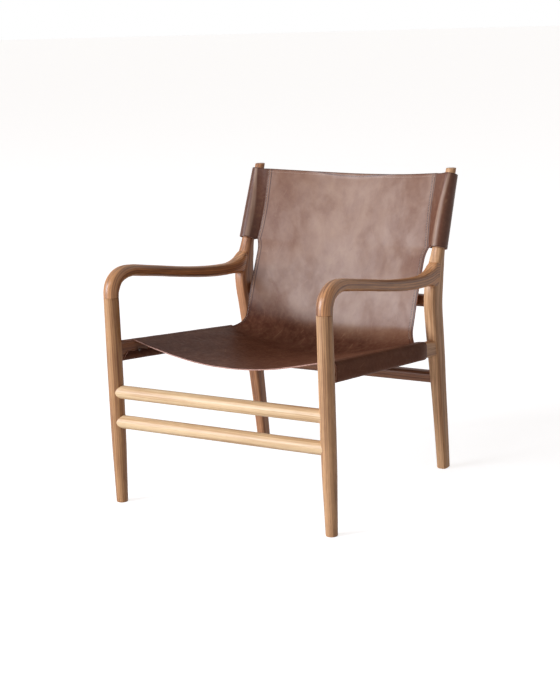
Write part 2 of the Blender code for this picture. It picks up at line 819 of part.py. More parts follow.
def tack_profile():
    """Radius and height out of the hide, from the shank's tip to the top of the head."""
    shank, head = TACK_SHANK_THICK / 2, TACK_HEAD_THICK / 2
    points = [(shank, -TACK_LENGTH), (shank, TOUCH_GAP), (head, TOUCH_GAP)]
    for out, up in TACK_DOME_SHARES:
        points.append((head * out, TOUCH_GAP + TACK_HEAD_DOME * up))
    return points


def make_tack(name, side, depth, metal, holes):
    """A domed tack through the hide's flap into the rail's inner face."""
    surface = RAIL_THICK / 2 + TOUCH_GAP + HIDE_THICK
    centre = rail_centre(side, depth)
    rise = WRAP_FLAP_RISE * TACK_HEIGHT_SHARE - rail_half_tall(depth) + RAIL_CORNER
    place = centre + Vector((-side * surface, 0.0, rise))
    inwards = Vector((-side, 0.0, 0.0))
    rings = [
        section_ring(
            place + inwards * out,
            (0, -side, 0),
            (0, 0, 1),
            radius,
            radius,
            0.0,
            DOWEL_SIDES,
        )
        for radius, out in tack_profile()
    ]
    tack = loft(name, rings, metal, place)
    tip = place - inwards * (TACK_LENGTH + TOUCH_GAP)
    top = place + inwards * CUT_OVERRUN
    for target in holes:
        bore(target, tip, top, TACK_SHANK_THICK, SMALL_SIDES)
    return tack


def stand_on_origin():
    """Puts the middle of the chair's footprint on the origin."""
    chair = bpy.data.objects.new("armchair", None)
    bpy.context.scene.collection.objects.link(chair)
    bpy.context.view_layer.update()
    depths = []
    for thing in bpy.context.scene.objects:
        if thing.type != "MESH":
            continue
        if not thing.hide_render:
            depths += [(thing.matrix_world @ v.co).y for v in thing.data.vertices]
        thing.parent = chair
    chair.location.y = -(min(depths) + max(depths)) / 2


def main():
    clear_scene()
    wood = principled("oiled hardwood", (0.47, 0.25, 0.12), 0.5)
    dowel_wood = principled("dowel wood", (0.55, 0.38, 0.22), 0.6)
    leather = principled("brown saddle leather", (0.17, 0.075, 0.05), 0.45)
    metal = principled("antiqued steel", (0.12, 0.09, 0.07), 0.4, 1.0)

    hide = make_hide(leather)
    legs = {}
    for side_name, side in SIDES:
        foot = front_leg_point(side, 0.0)
        legs["front", side] = loft(
            f"front_leg_{side_name}", front_leg_rings(side), wood, foot
        )
        foot = rear_leg_point(side, 0.0)
        legs["rear", side] = loft(
            f"rear_leg_{side_name}", rear_leg_rings(side), wood, foot
        )

    rods = (
        ("front_rung_upper", "front", RUNG_HIGH_HEIGHT),
        ("front_rung_lower", "front", RUNG_LOW_HEIGHT),
        ("rear_stretcher", "rear", STRETCHER_HEIGHT),
        ("back_rail", "back", BACK_RAIL_HEIGHT),
    )
    made_rods = {}
    for name, where, height in rods:
        thick, squareness = STRETCHER_THICK, STRETCHER_SQUARENESS_SHARE
        if where == "front":
            thick, squareness = RUNG_THICK, RUNG_SQUARENESS_SHARE
            rings, half_width = front_leg_rings, front_leg_half(height)
            point = lambda side, height=height: front_leg_point(side, height)
        else:
            rings, half_width = rear_leg_rings, rear_leg_halves(height)[0]
            point = lambda side, height=height: rear_leg_point(side, height)
        if where == "back":
            point = back_rail_point
        made_rods[name] = make_rod(
            name, rings, point, half_width, thick, squareness, wood
        )
        leg_row = "front" if where == "front" else "rear"
        for _, side in SIDES:
            tip, root = rod_tenon_ends(point(side), side, half_width)
            bore_for_tenon(legs[leg_row, side], tip, root)

    for side_name, side in SIDES:
        front, rear = legs["front", side], legs["rear", side]
        rail = make_rail(side_name, side, wood)
        for leg, (tip, root) in zip((front, rear), rail_tenon_ends(side)):
            tenon = rod_between(
                f"{rail.name} tenon in {leg.name}", tip, root, TENON_THICK, wood
            )
            combine(rail, as_cutter(tenon), "UNION")
            bore_for_tenon(leg, tip, root)
        arm = make_arm(side_name, side, wood, rear)
        joint = front_leg_point(side, FRONT_LEG_HEIGHT + TOUCH_GAP / 2)
        make_dowel(
            f"arm_front_dowel_{side_name}", joint, (0, 0, 1), dowel_wood, (arm, front)
        )
        for level, offset in (("upper", 0.5), ("lower", -0.5)):
            height = arm_rear_height() + DOWEL_SPACING * offset
            lean = math.tan(math.radians(post_lean(height)))
            depth = arm_end_depth() + DOWEL_SPACING * offset * lean
            joint = Vector((rear_leg_point(side, height).x, depth, height))
            make_dowel(
                f"arm_rear_dowel_{level}_{side_name}",
                joint,
                (0, 1, 0),
                dowel_wood,
                (arm, rear),
            )
        make_pin(
            f"stretcher_pin_{side_name}",
            side,
            dowel_wood,
            (rear, made_rods["rear_stretcher"]),
        )
        for number in range(TACKS_PER_RAIL):
            share = (number + 0.5) / TACKS_PER_RAIL
            depth = mix(WRAP_FRONT_SETBACK, WRAP_REAR_SETBACK, share)
            make_tack(
                f"rail_tack_{side_name}_{number + 1}", side, depth, metal, (hide, rail)
            )
    stand_on_origin()


main()
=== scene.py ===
"""Sling armchair: an oiled hardwood frame that carries one waxed hide as seat and back.

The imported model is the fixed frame. Every visible piece of wood is built again here
with round, smooth surfaces, and the hide gets its thickness, its edges, its sewing and
the unevenness of real leather. Metres, +Z up, and the sitter faces -Y.
"""

from __future__ import annotations

import logging
import math
import random
from collections import Counter
from collections.abc import Sequence
from dataclasses import dataclass, field
from enum import Enum

import bpy
from mathutils import Matrix, Vector, kdtree, noise


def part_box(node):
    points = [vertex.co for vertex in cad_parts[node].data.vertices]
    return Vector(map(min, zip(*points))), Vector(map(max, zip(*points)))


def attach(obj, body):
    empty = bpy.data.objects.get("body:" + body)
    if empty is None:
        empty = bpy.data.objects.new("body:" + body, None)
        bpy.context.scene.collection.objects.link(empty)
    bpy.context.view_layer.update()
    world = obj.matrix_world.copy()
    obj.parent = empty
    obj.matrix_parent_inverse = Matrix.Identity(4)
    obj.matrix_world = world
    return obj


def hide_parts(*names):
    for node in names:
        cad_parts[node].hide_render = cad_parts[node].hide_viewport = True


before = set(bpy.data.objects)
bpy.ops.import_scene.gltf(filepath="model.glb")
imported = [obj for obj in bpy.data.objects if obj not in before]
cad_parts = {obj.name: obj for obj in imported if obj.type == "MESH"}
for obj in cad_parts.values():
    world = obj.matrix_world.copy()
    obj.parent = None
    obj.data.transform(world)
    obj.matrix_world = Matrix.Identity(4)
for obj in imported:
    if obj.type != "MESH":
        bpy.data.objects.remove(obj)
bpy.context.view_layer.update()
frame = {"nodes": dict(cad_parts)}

LOG = logging.getLogger("armchair")
BODY = "root"
SHARP_DEGREES = 38.0
GRAIN = "grain"
END_GRAIN = "end_grain"
HIDE_PLACE = "hide_place"
HIDE_EDGES = "hide_edges"
ACROSS, BACKWARD, UPWARD = Vector((1, 0, 0)), Vector((0, 1, 0)), Vector((0, 0, 1))

Thing = bpy.types.Object
Material = bpy.types.Material
Socket = bpy.types.NodeSocket
Pair = tuple[float, float]
Triple = tuple[float, float, float]
Rings = list[list[Vector]]
Table = Sequence[Sequence[float]]
Path = list[tuple[Vector, Vector]]


class Side(Enum):
    """The sitter's two sides, with the sign of their X."""

    LEFT = 1.0
    RIGHT = -1.0

    @property
    def word(self) -> str:
        """The side's name as the nodes use it."""
        return self.name.lower()


class Slot(Enum):
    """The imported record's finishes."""

    WOOD = "oiled_wood"
    LEATHER = "saddle_leather"


# Curves and sections
def mix(first: float, last: float, share: float) -> float:
    """The value that lies at a share of the way from first to last."""
    return first + (last - first) * share


def mix_pairs(first: Pair, last: Pair, share: float) -> Pair:
    """The pair of values that lies at a share of the way from first to last."""
    return mix(first[0], last[0], share), mix(first[1], last[1], share)


def held(share: float) -> float:
    """A share held from 0 to 1."""
    return min(max(share, 0.0), 1.0)


def eased(share: float) -> float:
    """A share from 0 to 1 that starts and stops softly."""
    share = held(share)
    return share * share * (3 - 2 * share)


def slope(table: Table, row: int, column: int) -> float:
    """Slope of a table's column from one row to the next."""
    return (table[row + 1][column] - table[row][column]) / (table[row + 1][0] - table[row][0])


def tangent(table: Table, row: int, column: int) -> float:
    """Slope at a row of the smooth curve through a table's column.

    Args:
        table: Rows whose first column rises.
        row: The row.
        column: The column.

    Returns:
        The slope, which is 0 where the column turns.
    """
    last = len(table) - 1
    if row in (0, last):
        return slope(table, min(row, last - 1), column)
    before, after = slope(table, row - 1, column), slope(table, row, column)
    return 2 * before * after / (before + after) if before * after > 0 else 0.0


def smooth_from(table: Table, at: float, column: int) -> float:
    """Reads a table with a smooth curve through its rows that never overshoots.

    Args:
        table: Rows whose first column rises.
        at: The place to read, in the first column.
        column: The column to read.

    Returns:
        The value there.
    """
    row = 0
    while row < len(table) - 2 and at > table[row + 1][0]:
        row += 1
    width = table[row + 1][0] - table[row][0]
    t = held((at - table[row][0]) / width)
    from_value = (1 + 2 * t) * (1 - t) ** 2 * table[row][column]
    to_value = t * t * (3 - 2 * t) * table[row + 1][column]
    bend = t * (1 - t) ** 2 * tangent(table, row, column)
    bend -= t * t * (1 - t) * tangent(table, row + 1, column)
    return from_value + to_value + bend * width


def section_ring(
    centre: Vector, across: Vector, up: Vector, halves: Pair, squareness: float, sides: int
) -> list[Vector]:
    """Points of a rounded section, anticlockwise from across towards up.

    Args:
        centre: The middle of the section.
        across: Its first direction.
        up: Its second direction.
        halves: Half its size in each direction.
        squareness: 0 is an ellipse, and towards 1 it fills its rectangle.
        sides: How many points it has.

    Returns:
        The points.
    """
    power = 2 / (1 - squareness)
    points = []
    for i in range(sides):
        angle = math.tau * (i + 0.5) / sides
        c, s = math.cos(angle), math.sin(angle)
        reach = (abs(c) ** power + abs(s) ** power) ** (-1 / power)
        points.append(centre + across * (c * reach * halves[0]) + up * (s * reach * halves[1]))
    return points


# Meshes and pieces
@dataclass
class Draft:
    """The points and faces of a mesh in the making."""

    points: list[Vector] = field(default_factory=list)
    faces: list[tuple[int, ...]] = field(default_factory=list)

    def add_rings(self, rings: Rings) -> None:
        """Adds a closed skin through rings of points, with a flat face at each end.

        Args:
            rings: The rings, all with the same number of points.
        """
        count = len(rings[0])
        base = len(self.points)
        last = base + (len(rings) - 1) * count
        self.points += [point for ring in rings for point in ring]
        self.faces.append(tuple(base + i for i in reversed(range(count))))
        for low in range(base, last, count):
            for i in range(count):
                j = (i + 1) % count
                self.faces.append((low + i, low + j, low + count + j, low + count + i))
        self.faces.append(tuple(last + i for i in range(count)))


def link_object(name: str, data: bpy.types.ID) -> Thing:
    """Puts a new object into the scene.

    Args:
        name: Its name.
        data: Its mesh, lamp or camera.

    Returns:
        The object.
    """
    made = bpy.data.objects.new(name, data)
    bpy.context.scene.collection.objects.link(made)
    return made


def make_object(name: str, draft: Draft, materials: Sequence[Material]) -> Thing:
    """Makes a smooth-shaded mesh object.

    Args:
        name: The piece's name.
        draft: Its points and faces.
        materials: Its materials, in the order of its slots.

    Returns:
        The new object.
    """
    mesh = bpy.data.meshes.new(name)
    mesh.from_pydata(draft.points, [], draft.faces)
    mesh.validate()
    for material in materials:
        mesh.materials.append(material)
    mesh.shade_smooth()
    mesh.set_sharp_from_angle(angle=math.radians(SHARP_DEGREES))
    return link_object(name, mesh)


def write_at_points(piece: Thing, name: str, kind: str, values: list[float]) -> None:
    """Writes one attribute of a piece's points.

    Args:
        piece: The piece.
        name: The attribute's name.
        kind: FLOAT or FLOAT_VECTOR.
        values: The values, one after the other.
    """
    attribute = piece.data.attributes.new(name, kind, "POINT")
    attribute.data.foreach_set("vector" if kind == "FLOAT_VECTOR" else "value", values)


def fix_in_frame(piece: Thing, slot: Slot, *nodes: str) -> Thing:
    """Lets a piece ride with the chair and stand for CAD nodes.

    Args:
        piece: The new piece.
        slot: Not used.
        nodes: The CAD nodes that it stands for.

    Returns:
        The piece.
    """
    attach(piece, BODY)
    if nodes:
        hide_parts(*nodes)
    LOG.info("%s: %d points", piece.name, len(piece.data.vertices))
    return piece


# Node trees
class Graph:
    """Adds nodes to a tree and links them from values or from other sockets."""

    def __init__(self, tree: bpy.types.NodeTree) -> None:
        """Starts on an empty or a given tree."""
        self.tree = tree

    def feed(self, node: bpy.types.Node, given: dict) -> None:
        """Gives a node's inputs their values.

        Args:
            node: The node.
            given: Values, colours or sockets for its inputs, by name or number.
        """
        for key, value in given.items():
            taker = node.inputs[key]
            if isinstance(value, Socket):
                self.tree.links.new(value, taker)
            elif isinstance(value, tuple) and taker.type == "RGBA":
                taker.default_value = (*value, 1.0)
            else:
                taker.default_value = value

    def add(self, kind: str, given: dict | None = None, **settings: object) -> bpy.types.Node:
        """Adds a node.

        Args:
            kind: The node's type without the word ShaderNode.
            given: Values, colours or sockets for its inputs, by name or number.
            settings: Properties of the node.

        Returns:
            The node.
        """
        node = self.tree.nodes.new(kind if kind.startswith("Node") else f"ShaderNode{kind}")
        for name, value in settings.items():
            setattr(node, name, value)
        self.feed(node, given or {})
        return node

    def math(self, operation: str, *values: object, clamp: bool = False) -> Socket:
        """A Math node's result."""
        given = dict(enumerate(values))
        return self.add("Math", given, operation=operation, use_clamp=clamp).outputs[0]

    def times(self, value: object, factor: object) -> Socket:
        """A value multiplied by another."""
        return self.math("MULTIPLY", value, factor)

    def total(self, *values: object, clamp: bool = False) -> Socket:
        """The sum of two or more values, held from 0 to 1 at the end if clamp is set.

        Args:
            values: The values.
            clamp: Whether the last sum is held.

        Returns:
            The sum.
        """
        added = values[0]
        for i, value in enumerate(values[1:], 2):
            added = self.math("ADD", added, value, clamp=clamp and i == len(values))
        return added

    def vector(self, operation: str, *values: object) -> Socket:
        """A Vector Math node's result."""
        return self.add("VectorMath", dict(enumerate(values)), operation=operation).outputs[0]

    def stretched(self, place: object, factors: Triple) -> Socket:
        """A place scaled by its own factor in each direction."""
        return self.vector("MULTIPLY", place, factors)

    def blend(self, share: object, first: object, second: object) -> Socket:
        """A mix of two colours."""
        return self.add("Mix", {0: share, 6: first, 7: second}, data_type="RGBA").outputs[2]

    def layered(self, color: object, *layers: tuple[object, object]) -> Socket:
        """A colour with others laid over it.

        Args:
            color: The lowest colour.
            layers: The share and the colour of each layer, from low to high.

        Returns:
            The colour on top.
        """
        for share, over in layers:
            color = self.blend(share, color, over)
        return color

    def remap(self, value: object, low: object, high: object, start: float = 0.0, end: float = 1.0) -> Socket:
        """A value moved softly from one range to another and held inside it."""
        given = {0: value, 1: low, 2: high, 3: start, 4: end}
        return self.add("MapRange", given, interpolation_type="SMOOTHSTEP").outputs[0]

    def distance(self, value: object, place: object) -> Socket:
        """How far a value is from a place."""
        return self.math("ABSOLUTE", self.math("SUBTRACT", value, place))

    def noise(
        self, place: object, scale: object, detail: float = 2.0, rough: float = 0.5, warp: float = 0.0
    ) -> Socket:
        """The value of a noise texture."""
        given = {"Vector": place, "Scale": scale, "Detail": detail, "Roughness": rough, "Distortion": warp}
        return self.add("TexNoise", given).outputs[0]

    def cells(self, place: object, scale: float, feature: str = "F1") -> Socket:
        """The distance that a Voronoi texture gives."""
        return self.add("TexVoronoi", {"Vector": place, "Scale": scale}, feature=feature).outputs["Distance"]

    def bump(self, height: object, strength: float, depth: float) -> Socket:
        """A normal bent by a height."""
        return self.add("Bump", {"Strength": strength, "Distance": depth, "Height": height}).outputs[0]

    def read(self, name: str, output: str = "Vector") -> Socket:
        """An attribute that the mesh carries."""
        return self.add("Attribute", attribute_name=name).outputs[output]


def new_group(
    name: str, inputs: Sequence[tuple[str, str, object]], outputs: Sequence[tuple[str, str]]
) -> tuple[Graph, list[Socket], bpy.types.Node]:
    """Starts a shader node group.

    Args:
        name: The group's name.
        inputs: Name, kind and value of each input.
        outputs: Name and kind of each output.

    Returns:
        Its graph, the sockets of its inputs and the node that takes its outputs.
    """
    tree = bpy.data.node_groups.new(name, "ShaderNodeTree")
    for title, kind, value in inputs:
        socket = tree.interface.new_socket(title, in_out="INPUT", socket_type=f"NodeSocket{kind}")
        if value is not None:
            socket.default_value = value
    for title, kind in outputs:
        tree.interface.new_socket(title, in_out="OUTPUT", socket_type=f"NodeSocket{kind}")
    graph = Graph(tree)
    given = graph.add("NodeGroupInput").outputs
    return graph, [given[title] for title, *_ in inputs], graph.add("NodeGroupOutput")


class SharedEffects:
    """The shader effects that more than one material uses, each built once as a group."""

    def __init__(self) -> None:
        """Builds the groups."""
        self.wood_figure = self.make_wood_figure()
        self.soft_clouds = self.make_clouds()

    @staticmethod
    def make_wood_figure() -> bpy.types.NodeTree:
        """Growth rings cut by the surface, with fibres, pores and darker end grain.

        Returns:
            The group.
        """
        inputs = (
            ("Place", "Vector", None),
            ("End grain", "Float", 0.0),
            ("Light wood", "Color", (0.6, 0.35, 0.18, 1.0)),
            ("Dark wood", "Color", (0.25, 0.12, 0.06, 1.0)),
            ("Ring width", "Float", 0.006),
            ("End darkening", "Float", 0.03),
        )
        outputs = (("Color", "Color"), ("Roughness", "Float"), ("Height", "Float"))
        graph, given, result = new_group("wood figure", inputs, outputs)
        place, end_grain, light, dark, ring_width, end_darkening = given
        # The board's grain wanders slowly along its length
        slow = graph.stretched(place, (1.0, 1.0, 0.16))
        sway = graph.add("TexNoise", {"Vector": slow, "Scale": 9.0, "Detail": 1.5}).outputs["Color"]
        offset = graph.vector("SUBTRACT", sway, (0.5, 0.5, 0.5))
        moved = graph.vector("MULTIPLY_ADD", offset, (0.022, 0.022, 0.0), place)
        flat = graph.stretched(moved, (1.0, 1.0, 0.0))
        radius = graph.add("VectorMath", {0: flat}, operation="LENGTH").outputs["Value"]
        # Each ring darkens slowly to its late wood and ends in a sharp step
        season = graph.math("FRACT", graph.math("DIVIDE", radius, ring_width))
        step = graph.remap(season, 0.0, 0.10, 1.0, 0.0)
        ring = graph.math("MAXIMUM", graph.math("POWER", season, 2.6), step)
        fibre = graph.noise(graph.stretched(place, (1.0, 1.0, 0.035)), 620.0, 3.0, 0.62)
        streak = graph.noise(graph.stretched(moved, (1.0, 1.0, 0.03)), 95.0, 3.0, 0.6)
        tone = graph.noise(graph.stretched(place, (1.0, 1.0, 0.22)), 13.0)
        cells = graph.cells(graph.stretched(place, (1.0, 1.0, 0.045)), 760.0)
        pore = graph.remap(cells, 0.10, 0.34, 1.0, 0.0)
        pore = graph.times(pore, graph.remap(season, 0.25, 0.9, 0.25, 0.8))
        amount = graph.total(
            graph.math("MULTIPLY_ADD", ring, 0.42, -0.06),
            graph.remap(streak, 0.36, 0.68, -0.12, 0.50),
            graph.remap(tone, 0.36, 0.66, -0.10, 0.20),
            graph.remap(fibre, 0.30, 0.72, -0.06, 0.12),
            graph.times(end_grain, end_darkening),
            clamp=True,
        )
        color = graph.layered(light, (amount, dark), (graph.times(pore, 0.55), dark))
        rough = graph.total(graph.remap(fibre, 0.3, 0.7, 0.35, 0.46), graph.times(pore, 0.12))
        sunk = graph.times(pore, 0.8)
        height = graph.math("SUBTRACT", graph.times(fibre, 0.35), sunk)
        graph.feed(result, {"Color": color, "Roughness": rough, "Height": height})
        return graph.tree

    @staticmethod
    def make_clouds() -> bpy.types.NodeTree:
        """Soft uneven patches, as where wax, oil or hands have worked into a surface; on the hide's back they
        also lay painted sheen.

        Returns:
            The group.
        """
        inputs = (
            ("Place", "Vector", None),
            ("Scale", "Float", 8.0),
            ("Low", "Float", 0.35),
            ("High", "Float", 0.65),
        )
        graph, (place, scale, low, high), result = new_group("soft clouds", inputs, (("Mask", "Float"),))
        graph.feed(result, {"Mask": graph.remap(graph.noise(place, scale, 5.0, 0.58, 0.5), low, high)})
        return graph.tree

    def clouds(
        self, graph: Graph, place: object, scale: float, low: float = 0.35, high: float = 0.65
    ) -> Socket:
        """One layer of soft clouds in a material."""
        given = {"Place": place, "Scale": scale, "Low": low, "High": high}
        return graph.add("Group", given, node_tree=self.soft_clouds).outputs["Mask"]


def new_material(name: str) -> tuple[Material, Graph, bpy.types.Node]:
    """Starts a node material.

    Args:
        name: The material's name.

    Returns:
        The material, its graph and its Principled shader.
    """
    material = bpy.data.materials.new(name)
    material.use_nodes = True
    return material, Graph(material.node_tree), material.node_tree.nodes["Principled BSDF"]


@dataclass(frozen=True)
class WoodFinish:
    """Oiled hardwood, figured in the solid, so that each surface shows its own cut."""

    name: str
    light: Triple = (0.555, 0.298, 0.134)
    dark: Triple = (0.180, 0.060, 0.022)
    ring_width: float = 0.0052
    polish: float = 0.3
    polish_roughness: float = 0.30
    gloss: float = 0.15
    cloud_scale: float = 16.0
    cloud_share: float = 0.12
    bump: float = 0.22
    bump_depth: float = 0.00025

    def make(self, shared: SharedEffects) -> Material:
        """Builds the material from the shared wood figure.

        Args:
            shared: The shared effects.

        Returns:
            The material.
        """
        material, graph, shader = new_material(self.name)
        place = graph.read(GRAIN)
        given = {
            "Place": place,
            "End grain": graph.read(END_GRAIN, "Fac"),
            "Light wood": self.light,
            "Dark wood": self.dark,
            "Ring width": self.ring_width,
        }
        figure = graph.add("Group", given, node_tree=shared.wood_figure).outputs
        uneven_tone = graph.times(shared.clouds(graph, place, self.cloud_scale), self.cloud_share)
        facing = graph.add("LayerWeight").outputs["Facing"]
        look = {
            "Base Color": graph.blend(uneven_tone, figure["Color"], self.dark),
            "Roughness": figure["Roughness"],
            "Coat Weight": graph.remap(facing, 0.30, 0.75, self.polish, 0.0),
            "Normal": graph.bump(figure["Height"], self.bump, self.bump_depth),
            "Coat Roughness": self.polish_roughness,
            "Specular IOR Level": self.gloss,
        }
        graph.feed(shader, look)
        return material


@dataclass(frozen=True)
class HideFinish:
    """The grain side of the hide: waxed, clouded, with pores and scars, with painted shade on the seat and
    the flaps, painted sheen on the back and painted highlight bands along the sleeves.

    Places on the hide are metres across from its middle and along from its front edge.
    """

    name: str
    # The seat colour is the hide painted darker as shade, the pale colour carries the back's painted sheen
    # among other marks, and the last colour is the painted highlight along the sleeves
    deep: Triple = (0.060, 0.018, 0.010)
    seat: Triple = (0.115, 0.038, 0.020)
    base: Triple = (0.165, 0.065, 0.036)
    pale: Triple = (0.308, 0.165, 0.089)
    rubbed: Triple = (0.40, 0.26, 0.185)
    crease: float = 0.495
    crease_slant: float = 0.09
    crease_drop: float = 0.12
    # Place, width and lean of the painted highlight bands along the sleeves
    pulled_places: Pair = (0.032, 0.041)
    pulled_reaches: Pair = (0.0045, 0.0105)
    pulled_lean: float = 0.004
    wrap_place: float = 0.308
    flap_place: float = 0.395
    seam_insets: Pair = (0.0038, 0.0104)
    hem_inset: float = 0.0085
    polish_roughness: float = 0.36
    gloss: float = 0.03
    bump: float = 0.35
    bump_depth: float = 0.0004

    def make(self, shared: SharedEffects) -> Material:
        """Builds the material from clouds, pores, creases and the hide's own masks.

        Args:
            shared: The shared effects.

        Returns:
            The material.
        """
        material, graph, shader = new_material(self.name)
        place = graph.read(HIDE_PLACE)
        side, top, rim = graph.add("SeparateXYZ", {0: graph.read(HIDE_EDGES)}).outputs
        across, along, _ = graph.add("SeparateXYZ", {0: place}).outputs
        slant = graph.times(across, self.crease_slant)
        drop = graph.times(graph.math("MAXIMUM", across, 0.0), self.crease_drop)
        slanted = graph.total(along, slant, drop)
        on_back = graph.remap(slanted, self.crease - 0.046, self.crease + 0.040)
        on_panel = graph.times(on_back, graph.remap(side, -0.002, 0.003))
        uneven_tone = self.worn_patches(graph, shared, place, across)
        middle = shared.clouds(graph, graph.stretched(place, (1.3, 0.8, 1.0)), 24.0, 0.38, 0.68)
        fine = shared.clouds(graph, place, 85.0, 0.40, 0.72)
        seam = self.seam_line(graph, side, top)
        # Painted sheen: the back is painted paler than the seat, in patches
        back_color = graph.blend(uneven_tone, self.base, self.pale)
        # Painted shade: the seat is painted darker than the back
        seat_color = graph.layered(
            self.seat,
            (graph.times(middle, 0.6), self.base),
            # Painted shade, darker towards the crease
            (graph.remap(slanted, self.crease - 0.20, self.crease - 0.03, 0.0, 0.80), self.deep),
            # Painted shade towards the sitter's right and painted light towards the sitter's left
            (graph.remap(across, -0.26, -0.06, 0.35, 0.0), self.deep),
            (graph.remap(across, 0.08, 0.24, 0.0, 0.35), self.base),
            (self.round_wood(graph, across, side), self.base),
            # Painted highlight bands along the sleeves
            (self.pulled_line(graph, across, side, top), self.rubbed),
        )
        color = graph.layered(
            seat_color,
            (on_panel, back_color),
            (graph.times(middle, 0.30), self.base),
            (graph.times(fine, 0.16), self.pale),
            # Darker cut edges, and painted shade on the flaps inside the rails
            (self.cut_edges(graph, across, side, rim), self.deep),
            (graph.times(seam, 0.80), self.deep),
            (self.between_seams(graph, side, on_back), self.pale),
            (self.scars(graph, place, middle), self.pale),
        )
        creases = graph.noise(place, 210.0, 4.0, 0.6, 0.8)
        pores = graph.times(graph.cells(place, 520.0), 0.5)
        height = graph.total(pores, graph.times(creases, 0.9))
        height = graph.math("SUBTRACT", height, graph.times(seam, 1.6))
        on_sleeve = graph.remap(side, -0.006, 0.0, 0.5, 0.0)
        wax = graph.math("MAXIMUM", graph.remap(uneven_tone, 0.2, 0.8, 0.35, 0.72), on_sleeve)
        smoothed = graph.times(fine, -0.05)
        look = {
            "Base Color": color,
            "Roughness": graph.total(graph.remap(creases, 0.3, 0.7, 0.46, 0.56), smoothed),
            "Coat Weight": graph.times(on_back, wax),
            "Normal": graph.bump(height, self.bump, self.bump_depth),
            "Coat Roughness": self.polish_roughness,
            "Specular IOR Level": self.gloss,
        }
        graph.feed(shader, look)
        return material

    def worn_patches(self, graph: Graph, shared: SharedEffects, place: Socket, across: Socket) -> Socket:
        """How much painted sheen pales the back: in clouds, in smears and down its middle.

        Args:
            graph: The material's graph.
            shared: The shared effects.
            place: The place on the hide.
            across: Its distance across.

        Returns:
            The share, from 0 to 1.
        """
        broad = shared.clouds(graph, graph.stretched(place, (1.0, 0.75, 1.0)), 7.5, 0.38, 0.64)
        given = {"Vector": place, "Angle": math.radians(-16)}
        leaned = graph.add("VectorRotate", given, rotation_type="Z_AXIS").outputs[0]
        smear = shared.clouds(graph, graph.stretched(leaned, (1.15, 0.72, 1.0)), 15.0, 0.32, 0.72)
        # Painted sheen down the middle of the back
        rubbed = graph.remap(graph.distance(across, 0.01), 0.03, 0.25, 0.44, 0.09)
        parts = (graph.times(broad, 0.24), graph.times(smear, 0.34), rubbed)
        return graph.total(*parts, clamp=True)

    def round_wood(self, graph: Graph, across: Socket, side: Socket) -> Socket:
        """How much lighter the hide is where it goes round the posts and rails; on the sleeves it is painted
        light, more on the sitter's left sleeve.

        Args:
            graph: The material's graph.
            across: Distance across.
            side: Distance to the back's side edge.

        Returns:
            The share.
        """
        wrap = graph.remap(graph.math("ABSOLUTE", across), self.wrap_place, self.wrap_place + 0.01, 0.0, 0.35)
        # Painted light: the sitter's left sleeve is lightened more than the right
        by_side = graph.remap(across, -0.1, 0.1, 0.3, 0.6)
        sleeve = graph.times(graph.remap(side, -0.006, 0.0, 1.0, 0.0), by_side)
        wrap = graph.times(wrap, graph.math("GREATER_THAN", side, 0.5))
        return graph.math("MAXIMUM", sleeve, wrap)

    def pulled_line(self, graph: Graph, across: Socket, side: Socket, top: Socket) -> Socket:
        """1 along a painted highlight band on the hide round a post, wider towards its foot.

        Args:
            graph: The material's graph.
            across: Distance across.
            side: Distance to the back's side edge.
            top: Distance to the back's top edge.

        Returns:
            The share.
        """
        place = graph.remap(across, -0.01, 0.01, *[-place for place in self.pulled_places])
        place = graph.total(place, graph.remap(top, 0.0, 0.12, -self.pulled_lean, 0.0))
        reach = graph.remap(top, 0.0, 0.17, *self.pulled_reaches)
        return graph.remap(graph.math("DIVIDE", graph.distance(side, place), reach), 0.2, 1.0, 0.8, 0.0)

    def cut_edges(self, graph: Graph, across: Socket, side: Socket, rim: Socket) -> Socket:
        """How dark the hide is along its cut edges, and the painted shade on the flaps inside the rails.

        Args:
            graph: The material's graph.
            across: Distance across.
            side: Distance to the back's side edge.
            rim: Distance to any cut edge.

        Returns:
            The share.
        """
        # Painted shade on the flaps inside the rails
        flap = graph.remap(graph.math("ABSOLUTE", across), self.flap_place, self.flap_place + 0.01, 0.0, 0.85)
        flap = graph.times(flap, graph.math("GREATER_THAN", side, 0.5))
        return graph.math("MAXIMUM", flap, graph.remap(rim, 0.0, 0.0045, 0.75, 0.0))

    def seam_line(self, graph: Graph, side: Socket, top: Socket) -> Socket:
        """1 in the grooves where the thread pulls the hide in, 0 elsewhere.

        Args:
            graph: The material's graph.
            side: Distance to the back's side edge.
            top: Distance to the back's top edge.

        Returns:
            The share.
        """
        lines = []
        for distance, inset in zip((side, side, top), (*self.seam_insets, self.hem_inset)):
            lines.append(graph.remap(graph.distance(distance, inset), 0.0005, 0.0026, 1.0, 0.0))
        return graph.math("MAXIMUM", graph.math("MAXIMUM", lines[0], lines[1]), lines[2])

    def between_seams(self, graph: Graph, side: Socket, on_back: Socket) -> Socket:
        """How much paler the hide is on the ridge between the back's two side seams."""
        ridge = graph.remap(graph.distance(side, sum(self.seam_insets) / 2), 0.0004, 0.0022, 0.35, 0.0)
        return graph.times(ridge, on_back)

    @staticmethod
    def scars(graph: Graph, place: Socket, middle: Socket) -> Socket:
        """How pale the thin scars are, which show only in some clouds.

        Args:
            graph: The material's graph.
            place: The place on the hide.
            middle: The clouds.

        Returns:
            The share.
        """
        marks = graph.cells(graph.stretched(place, (1.0, 0.22, 1.0)), 26.0, "DISTANCE_TO_EDGE")
        shown = graph.remap(middle, 0.5, 0.95, 0.0, 0.35)
        return graph.times(graph.remap(marks, 0.0, 0.02, 1.0, 0.0), shown)


